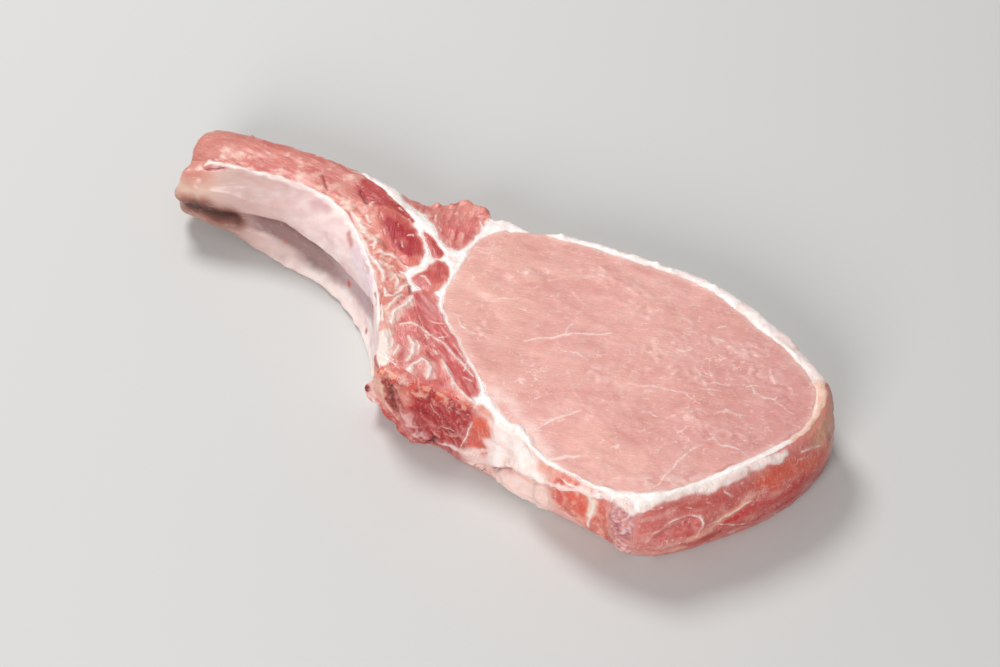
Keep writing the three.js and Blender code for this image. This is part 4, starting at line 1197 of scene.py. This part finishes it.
def wall_wash(points, out):
    """The colours of the same wall: uneven patches of tissue, with marks over them."""
    ragged = facing_wall(frayed(frayed(points, 0.7, 1.2, 269), 0.8, 3.4, 270))
    share = np.zeros(len(points))
    total = np.zeros((len(points), 4))
    for x, z, size, tint in WALL_TISSUES:
        weight = np.exp(-PATCH_SHARPNESS * np.linalg.norm(ragged - (x, z, 0), axis=1) / size)
        share += weight
        total += weight[:, None] * paint(*tint)
    here = wall_share(points, out)
    sawn = fade(points[:, 0], 12, 17)
    fine = frayed(points, 0.4, 0.8, 267)
    face = facing_wall(fine)
    streaky = drawn_out(facing_wall(points), -50, 3)
    block = step(points[:, 0], -2, 2) * fade(points[:, 0], 12, 16)
    knot = near(face, KNOT, 3.6, 0.4)
    ridges = knot_ridges(points)
    hanging = step(points[:, 0], 18, 22) * fade(points[:, 0], 36, 40)
    flank = step(points[:, 0], 38, 41) * fade(points[:, 0], 55, 57)
    upright = face * (1, 0.5, 1)
    streaks = fade(threads(facing_wall(points), WALL_STREAKS, 276, 0.25), 0.6, 3.2)
    edge = near(ragged_top(points), BLOCK_EDGE, 1.6, 0.7) * step(points[:, 2], 16, 18)
    layers = [
        ((236, 176, 166), 0.55 * streaks),
        ((226, 146, 136), 0.5 * sawn * patches(fine, 1.3, 280, 0.1, 0.5)),
        ((174, 40, 44), 0.75 * block),
        ((228, 152, 148), 0.45 * block * patches(streaky, 0.9, 337, 0.2, 0.55)),
        ((146, 40, 46), 0.6 * block * (1 - patches(streaky, 0.9, 337, -0.55, -0.15))),
        ((240, 200, 196), 0.7 * near(face, CUSHION, 2.8, 0.8) * patches(fine, 1.4, 340, -0.1, 0.3)),
        ((108, 50, 44), 0.8 * near(face, SPONGY, 2.0, 0.7) * patches(points, 0.9, 281, 0.1, 0.45)),
        ((236, 196, 176), 0.85 * near(face, BONE_RIND, 0.8, 0.7)),
        ((246, 224, 216), 0.85 * near(face, UNDER_BLOCK, 0.9, 0.8)),
        # Painted shade in the gap at the foot of the sawn block.
        ((84, 26, 30), 0.9 * near(face, DARK_GAP, 1.1, 0.8)),
        ((244, 206, 194), 0.5 * hanging * patches(fine, 2.0, 334, 0.15, 0.5)),
        # Painted shadow under the cord of fat, and painted shade in the crease below it.
        ((186, 130, 120), 0.8 * near(face, UNDER_CORD, 1.6, 0.9)),
        ((168, 116, 108), 0.9 * near(face, CREASE, 0.9, 0.9)),
        ((246, 184, 164), 0.75 * flank * patches(upright, 1.1, 342, 0.1, 0.45)),
        ((214, 90, 78), 0.7 * flank * patches(upright, 1.3, 343, 0.1, 0.45)),
        ((226, 88, 60), 0.5 * near(face, [(44.6, 14.4), (48.2, 13.6), (48.4, 9.6)], 2.4, 0.9)),
        ((247, 228, 208), 0.95 * near(face, CORD_END, 1.5, 0.7)),
        ((250, 232, 226), 0.9 * near(face, CORD, 1.0, 0.7)),
        # On the knot: painted highlight on the crests of the crumples and painted shade in their hollows.
        ((240, 212, 214), 0.65 * knot * step(ridges, 0.1, 0.5)),
        ((164, 92, 100), 0.65 * knot * fade(ridges, -0.45, -0.05)),
    ]
    return [
        (total / (share[:, None] + 1e-12), here),
        *((tint, here * cover) for tint, cover in layers),
        ((218, 82, 62), 0.85 * edge * patches(fine, 1.6, 288, -0.2, 0.3)),
        ((246, 190, 164), 0.7 * edge * patches(fine, 1.2, 289, 0.15, 0.4)),
        ((134, 10, 22), spot(points, BLOOD, 0.95, 0.3)),
        ((252, 241, 235), rim_cover(points)),
    ]


def back_relief(points, out, *_):
    lift = bumps(drawn_out(points, -45, 2), (0.16, 1.1, 271)) + bumps(frayed(points), (0.2, 2.2, 272))
    lift += 0.16 * fade(threads(points, BACK_THREADS, 273, 0.3), 0.3, 2.0)
    lift *= 1 - on_wall(out)
    shared = 0.16 * crest_cover(points, out) + curly_relief(points) + wall_relief(points, out)
    return lift, shared - 0.3 * near(points, DARK_SEAM, 0.7, 0.9)


back_meat, foot, out, *_ = fitted("back_meat", voxel=0.32, relief=back_relief)
ragged = frayed(foot)
fibres = drawn_out(ragged, -50, 3)
wall = wall_share(foot, out)
# On this piece's cut face the threads are a little wider than elsewhere.
WIDER = 1.25
top_threads = threads(foot, BACK_THREADS + CURLS, 273, 0.3) / WIDER
mark(back_meat, thread=top_threads * (1 - wall) + wall * wall_strands(foot),
     tissue=0.6 * step(foot[:, 0], -14, -10) * patches(foot, 2.4, 277, -0.2, 0.4))
wash(
    back_meat, (220, 118, 113),
    ((228, 144, 132), 0.65 * patches(fibres, 1.0, 278, 0.0, 0.45)),
    ((188, 72, 72), 0.65 * patches(fibres, 1.3, 279, 0.1, 0.5)),
    ((240, 186, 174), 0.65 * fade(top_threads, 1.0, 4.5)),
    *curly_wash(foot),
    ((240, 202, 186), 0.55 * near(ragged, PALE_CORNER, 3.4, 0.8)),
    ((248, 232, 220), near(ragged, BONE_END, 2.6, 0.6)),
    ((214, 100, 88), 0.8 * near(ragged, BLOCK_TOP, 2.0, 0.8)),
    *wall_wash(foot, out),
    # The crest: the membrane's white edge with a painted highlight on the ridge.
    ((252, 240, 230), 0.9 * crest_cover(foot, out)),
    ((170, 120, 128), 0.8 * near(frayed(foot, 0.2), DARK_SEAM, 0.5, 0.8)),
    ((120, 60, 58), 0.7 * near(foot, [(-15.9, 0.6), (-14.9, -1.1)], 0.6, 0.7)),
)
finished(back_meat, "back_meat", meat_material(
    "back meat", pale=(243, 203, 192), turn=0.85, lines=0.25, contrast=0.75, strands=0.4, flecks=0.4,
    veins=0.35, thread=0.7, bump=0.3, glossy=0.22, wet=0.15))

# ---- Sawn corner of the backbone ----
# What the saw has left of a vertebra: a thin rind of hard bone round brown spongy bone, blood in its pores,
# a round cushion of gristle at the foot, and a small wet nub at the outer corner with a drop of dark blood
# on it.


def chine_relief(points, out, *_):
    lift = bumps(points, (0.14, 1.3, 282), (0.16, 3, 283))
    return lift, wall_relief(points, out) + 0.28 * spot(points, BLOOD, 0.9, 0.8)


chine, foot, out, *_ = fitted("chine_bone", voxel=0.28, relief=chine_relief)
ragged = frayed(foot, 0.5, 1.1)
mark(chine, thread=wall_strands(foot) + FAR * (1 - wall_share(foot, out)), tissue=0.3)
wash(
    chine, (214, 132, 122),
    ((238, 196, 182), 0.7 * patches(ragged, 2.0, 285, 0.0, 0.4)),
    ((248, 232, 220), 0.95 * near(ragged, BONE_END, 2.6, 0.6)),
    ((214, 100, 88), 0.8 * near(ragged, BLOCK_TOP, 2.0, 0.8)),
    *wall_wash(foot, out),
)
finished(chine, "chine_bone", meat_material(
    "backbone", pale=(242, 208, 196), turn=0.85, lines=0.25, contrast=0.5, flecks=0.35, bump=0.26,
    dull=0.48, glossy=0.2, wet=0.25))

# ---- Wall muscles ----
# Thin sheets of muscle on the outer wall of the loin: an orange one by the backbone, a flank of orange-red
# bundles parted by white strands, and a knot of crumpled tissue where they end. Seen from above they are
# thin pale bands.


def wall_muscle_relief(points, out, *_):
    return 0.0, wall_relief(points, out)


for node, slot, seed, gloss in (
    ("corner_muscle", "flank_meat", 299, 0.26),
    ("flank_muscle", "flank_meat", 301, 0.24),
    ("knob_muscle", "knob_meat", 303, 0.18),
):
    piece, foot, out, fat, _ = fitted(node, voxel=0.3, relief=wall_muscle_relief)
    ragged = frayed(foot, 0.5, 1.4)
    mark(piece, thread=wall_strands(foot) + FAR * (1 - wall_share(foot, out)), tissue=0.3)
    wash(
        piece, (224, 140, 124),
        ((236, 170, 152), 0.6 * patches(ragged, 1.6, seed, 0.0, 0.45)),
        ((206, 98, 88), 0.5 * patches(ragged, 2.0, seed + 1, 0.1, 0.5)),
        *wall_wash(foot, out),
        ((242, 208, 196), 0.7 * fade(fat, 0.0, 1.6) * (1 - on_wall(out))),
    )
    finished(piece, node, meat_material(
        node.replace("_", " "), pale=(246, 212, 198), turn=1.3, lines=0.25, flecks=0.35, bump=0.24,
        glossy=gloss, wet=0.2))

# ---- Side muscle ----
# A broad sheet of muscle round the far end of the loin, under a thin skin of fascia that turns it milky in
# places. It is deep red where the fascia is torn, yellowish where fascia lies thick, and tan and dry at the
# far end.

SIDE_THREADS = [
    (0.30, (61.8, -36.0, 7.4), (64.6, -35.8, 9.2), (66.2, -34.5, 12.6), (67.7, -32.9, 14.4),
     (69.6, -30.8, 15.3), (71.9, -28.5, 15.4), (73.7, -27.1, 14.2), (74.4, -27.0, 11.6),
     (73.4, -28.3, 7.6)),
    (0.26, (75.1, -26.4, 11.2), (77.3, -23.6, 10.7), (79.4, -20.9, 11.7), (81.1, -18.4, 12.8),
     (82.6, -16.4, 13.2)),
    (0.22, (76.7, -24.5, 10.0), (80.0, -20.5, 7.4), (83.6, -14.6, 4.0)),
    (0.20, (62.5, -34.7, 19.4), (65.2, -33.3, 19.0), (66.8, -32.0, 19.2)),
    (0.20, (62.6, -35.9, 6.8), (65.4, -35.0, 4.4), (68.6, -32.8, 3.0)),
    (0.30, (87.7, -3.1, 18.3), (89.3, -0.2, 17.7), (90.7, 2.7, 16.0)),
    (0.18, (74.0, -25.6, 17.6), (75.2, -24.2, 16.4)), (0.22, (76.6, -21.6, 18.6), (79.0, -19.8, 15.6)),
    (0.16, (84.0, -13.2, 14.6), (86.2, -9.4, 14.0)), (0.16, (70.6, -29.4, 17.6), (72.0, -28.0, 17.0)),
]
END_MIDDLE = 40
END_RADIUS = 45
DEEP_RED = [(78, -21.6, 9.5), (83, -15.8, 9.6), (88.6, -6.6, 10.0), (90.2, -2.2, 10.4)]
LOWER_RED = [(72.7, -28.7, 4.8), (77.0, -24.0, 5.6), (84.0, -14.4, 5.8), (89, -5, 6.6)]
YELLOW_FOOT = [(62.2, -35.4, 3.4), (67.0, -33.0, 3.2), (71.0, -30.2, 3.6)]
YELLOW_FOLD = [(73.1, -27.8, 7.4), (78.6, -22.0, 11.4), (82.0, -17.0, 13.2)]
PINK_FOOT = [(82.7, -15.9, 2.4), (88.0, -8.0, 3.0), (91, 0, 3.4)]
ORANGE_SHOULDER = [(82.8, -14.0, 16.9), (87.8, -5.9, 15.8), (91.0, 0.6, 14), (91.4, 4, 11)]
TORN = [(67.6, -33.4, 10.2), (70.1, -31.0, 11.6), (72.2, -29.0, 12.8)]
TAN = [(86.9, 15.4, 17.2), (90.2, 9.4, 17.0), (90.8, 6.0, 17.4), (89.6, 3.0, 18.6)]


def along_side(points):
    """The points unrolled round the far end of the loin: mm along it, and mm up."""
    x, y, z = points.T
    return np.stack([np.arctan2(y, x - END_MIDDLE) * END_RADIUS, z, 0 * z], axis=1)


def side_wash(points, out):
    """The colours of the far side wall, under its white rim. They run on over whatever lies behind it."""
    ragged = frayed(points, 0.7, 1.6)
    loose = frayed(points, 1.6, 4.0, 318)
    around = along_side(ragged) * (0.3, 1, 1)
    side = step(points[:, 0], 59.5, 60.5) * np.maximum(on_wall(out), step(-out[:, 2], 0.2, 0.6))
    return [
        ((208, 114, 106), side),
        ((226, 154, 143), 0.7 * side * patches(around, 1.8, 315, 0.05, 0.5)),
        ((192, 74, 68), 0.65 * side * patches(around * (0.7, 1, 1), 2.0, 316, 0.1, 0.5)),
        ((234, 184, 173), 0.4 * side * patches(around, 1.0, 320, 0.15, 0.5)),
        ((196, 52, 50), 0.9 * near(loose, DEEP_RED, 4.0, 0.9)),
        ((186, 46, 48), 0.8 * near(loose, LOWER_RED, 2.6, 0.9)),
        ((204, 100, 97), 0.9 * near(ragged, TORN, 3.4, 0.7)),
        ((222, 136, 130), 0.7 * near(ragged, TORN, 3.4, 0.7) * patches(ragged, 1.0, 305, 0.05, 0.4)),
        # Painted glints: tiny white specks of wet shine in the torn patch.
        ((250, 226, 222), 0.9 * near(ragged, [(68.9, -32.8, 8.6), (70.6, -30.8, 6.2)], 1.9, 0.9)
         * patches(points, 0.32, 306, 0.2, 0.5)),
        ((236, 180, 162), 0.75 * near(ragged, YELLOW_FOOT, 2.0, 0.9)),
        ((238, 182, 156), 0.75 * near(loose, YELLOW_FOLD, 2.2, 0.9)),
        ((222, 150, 144), 0.6 * near(loose, PINK_FOOT, 1.8, 0.9)),
        ((220, 98, 72), 0.9 * near(loose, ORANGE_SHOULDER, 4.4, 0.9)),
        ((230, 174, 146), 0.95 * near(loose, TAN, 5.0, 0.8)),
        ((228, 162, 136), 0.75 * side * step(loose[:, 1], 5, 14)),
    ]


def side_relief(points, out, *_):
    around = along_side(points)
    lift = bumps(around * (0.3, 1, 1), (0.22, 2.0, 311)) + bumps(around * (0.5, 1, 1), (0.26, 4.6, 312))
    lift += bumps(points, (0.12, 1.0, 313))
    lift += 0.16 * fade(threads(points, SIDE_THREADS, 314, 0.3), 0.3, 2.4)
    lift -= 0.3 * near(points, TORN, 3.0, 0.7)
    lift += near(points, TORN, 3.4, 0.7) * bumps(frayed(points, 0.5, 1.2), (0.25, 1.2, 319))
    knot = fade(points[:, 0], 62.5, 65) * on_wall(out)
    return lift * (1 - knot), wall_relief(points, out)


side, foot, out, fat, _ = fitted("side_muscle", voxel=0.38, relief=side_relief)
mark(side, thread=threads(foot, SIDE_THREADS, 314, 0.3), tissue=0.3)
wash(
    side, (216, 136, 128),
    *side_wash(foot, out),
    *wall_wash(foot, out),
    ((246, 226, 217), 0.6 * fade(fat, 0.2, 1.6) * (1 - on_wall(out)) * fade(foot[:, 0], 78, 84)),
)
finished(side, "side_muscle", meat_material(
    "side meat", pale=(244, 206, 198), turn=0.9, lines=0.3, strands=0.25, flecks=0.5, veins=0.4, edge=0.4,
    dull=0.5, glossy=0.28, wet=0.15, scatter=0.3))

# ---- Fat ----
# The white fat that holds the chop together: a rim round the eye, webs between the small muscles, and a
# broad lumpy mass at the waist that hangs in two folds down the wall. It is firm, greasy and finely lobed,
# and pinker in the folds.

TUFTS = [
    ((9.3, 33.0, 20.0), 1.5), ((28.4, 34.2, 20.2), 2.0), ((34.6, 35.0, 20.0), 1.4),
    ((38.0, 34.8, 20.0), 1.3), ((50.0, 34.2, 20.0), 1.4),
]
WAIST = [(19, -27), (36, -31)]
WAIST_EDGE = [(30.6, -29.4, 19.8), (34.0, -31.2, 19.6), (38.0, -33.0, 19.4)]
EYE_CORNER = [(9, -18.6), (13, -21.4), (18, -24.4)]
TAN_RIM = [(87.4, -1.0, 20), (88.2, 4.0, 20), (87.4, 9.0, 20), (85.0, 15.6, 20)]
CRUMBS = [
    (22.7, -26.9, 18.6), (23.6, -26.4, 18.9), (21.8, -27.1, 18.0), (26.8, -27.3, 19.2), (24.6, -27.3, 18.2),
    (-9.0, -22.2, 20.0),
]


def fat_relief(points, out, *_):
    upper = 1 - on_wall(out)
    lobed = frayed(points, 0.5, 1.6, 321)
    behind = on_wall(out) * step(points[:, 1], 5, 15)
    lift = bumps(lobed, (0.14, 1.2, 322), (0.2, 2.6, 323)) * (1 - 0.5 * behind)
    lift += upper * bumps(points, (0.12, 1.5, 324))
    lift += behind * bumps(points * (0.5, 0.5, 1), (0.35, 3.5, 345))
    for place, radius in TUFTS:
        lift += 0.45 * spot(points, place, radius, 1.0)
    for place in CRUMBS:
        lift += 0.3 * spot(points, place, 0.7, 0.9)
    waist = near(points, WAIST, 7, 0.9) * upper
    lift += waist * (bumps(lobed, (0.5, 2.2, 327), (0.25, 1.1, 328)) + 0.3)
    return lift, wall_relief(points, out)


white_fat, foot, out, fat, _ = fitted("fat", voxel=0.48, relief=fat_relief)
ragged = frayed(foot, 0.6, 1.6)
mark(white_fat, thread=FAR, tissue=0.0)
wash(
    white_fat, (253, 242, 239),
    ((248, 229, 222), 0.6 * patches(ragged, 4.5, 331)),
    ((245, 219, 212), 0.55 * patches(ragged, 1.8, 332, 0.1, 0.5)),
    ((247, 228, 220), 0.7 * on_wall(out)),
    ((244, 216, 205), 0.7 * on_wall(out) * step(foot[:, 1], 5, 15)
     * patches(ragged * (0.5, 0.5, 1), 4.0, 348, -0.5, 0.4)),
    # Painted shade: the rim at the far right end, turned away from the lamp, greyer and darker.
    ((224, 200, 192), 0.6 * near(ragged, [(70.0, 25.5), (78.0, 20.5), (84.0, 14.0)], 3.4, 0.9)),
    ((240, 216, 208), 0.5 * near(ragged, WAIST, 7, 0.9) * patches(ragged, 2.4, 344, -0.3, 0.3)),
    *((tint, cover * (foot[:, 1] < -8)) for tint, cover in side_wash(foot, out)),
    ((238, 192, 168), 0.85 * near(frayed(foot, 1.2, 3.0, 318), TAN_RIM, 3.4, 0.7)),
    *wall_wash(foot, out),
    ((196, 116, 108), 0.2 * on_wall(out) * step(foot[:, 0], 52, 56)),
    ((240, 196, 190), 0.6 * near(ragged, EYE_CORNER, 3.6, 0.8) * patches(ragged, 1.5, 341, -0.1, 0.4)),
    ((238, 180, 164), 0.6 * near(ragged, WAIST_EDGE, 1.3, 0.9)),
    ((253, 246, 243), 0.8 * fade(np.abs(fat + 0.6), 0.3, 0.8) * (1 - on_wall(out))
     * fade(foot[:, 0], 80, 84)),
)
FAT_MATERIAL, tree, shader, place, own = moist_material("fat", 0.2)
cells = {"Vector": place, "Scale": 620.0, "Smoothness": 0.7}
lobules = add(tree, "TexVoronoi", cells, feature="SMOOTH_F1").outputs[0]
cloudy = noise(tree, place, 190.0, 4.0, 0.6, 0.6)
fine = noise(tree, place, 1900.0, 3.0, 0.65)
colour = blend(tree, between(tree, lobules, 0.4, 0.8, 0.0, 0.3), own, paint(250, 226, 221), "MULTIPLY")
colour = blend(tree, between(tree, cloudy, 0.3, 0.6, 0.35, 0.0), colour, paint(251, 234, 230), "MULTIPLY")
stain = clinging(tree, place, times(tree, stored(tree, "fat"), -1.0), reach=0.15, soft=0.35)
colour = blend(tree, times(tree, stain, 0.45), colour, paint(244, 196, 184))
height = minus(tree, times(tree, fine, 0.7), times(tree, lobules, 0.6))
dress(tree, shader, place, colour, height, bump=0.2, dull=0.48, glossy=0.2, wet=0.15)
finished(white_fat, "fat", FAT_MATERIAL)

# ---- Floor, light and camera ----
# A pale paper floor, one large soft lamp high at the left and behind, and a weak one in front to fill the
# shadows.

floor_mesh = bpy.data.meshes.new("floor")
shape = bmesh.new()
bmesh.ops.create_grid(shape, x_segments=1, y_segments=1, size=3.0)
shape.to_mesh(floor_mesh)
shape.free()
floor = bpy.data.objects.new("floor", floor_mesh)
bpy.context.scene.collection.objects.link(floor)
floor.location.z = -0.02 * MM
paper = bpy.data.materials.new("pale paper")
paper.use_nodes = True
paper_inputs = paper.node_tree.nodes["Principled BSDF"].inputs
paper_inputs["Base Color"].default_value = paint(205, 204, 202)
paper_inputs["Roughness"].default_value = 0.7
floor_mesh.materials.append(paper)


def soft_light(name, place, size, power):
    lamp = bpy.data.lights.new(name, "AREA")
    lamp.shape = "DISK"
    lamp.size = size
    lamp.energy = power
    holder = bpy.data.objects.new(name, lamp)
    bpy.context.scene.collection.objects.link(holder)
    holder.location = place
    holder.rotation_euler = (-Vector(place)).to_track_quat("-Z", "Y").to_euler()


soft_light("key", (-0.50, 0.34, 0.80), 0.35, 6.3)
soft_light("fill", (0.10, -0.88, 0.50), 0.5, 6.9)
world = bpy.data.worlds.new("studio")
bpy.context.scene.world = world
world.use_nodes = True
background = world.node_tree.nodes["Background"].inputs
background["Color"].default_value = (1.0, 1.0, 1.0, 1.0)
background["Strength"].default_value = 0.3
bpy.context.scene.view_settings.view_transform = "Standard"

LOOK_AT = (2.369, 13.140, 0.0)
DISTANCE = 590.0
RISE = math.radians(48)
TURN = math.radians(27)
back = Vector((math.sin(TURN) * math.cos(RISE), -math.cos(TURN) * math.cos(RISE), math.sin(RISE)))
camera = bpy.data.objects.new("camera", bpy.data.cameras.new("camera"))
bpy.context.scene.collection.objects.link(camera)
camera.location = (Vector(LOOK_AT) + back * DISTANCE) * MM
camera.rotation_euler = back.to_track_quat("Z", "Y").to_euler()
camera.data.lens = 85
camera.data.sensor_width = 36
camera.data.clip_start = 0.05
bpy.context.scene.camera = camera
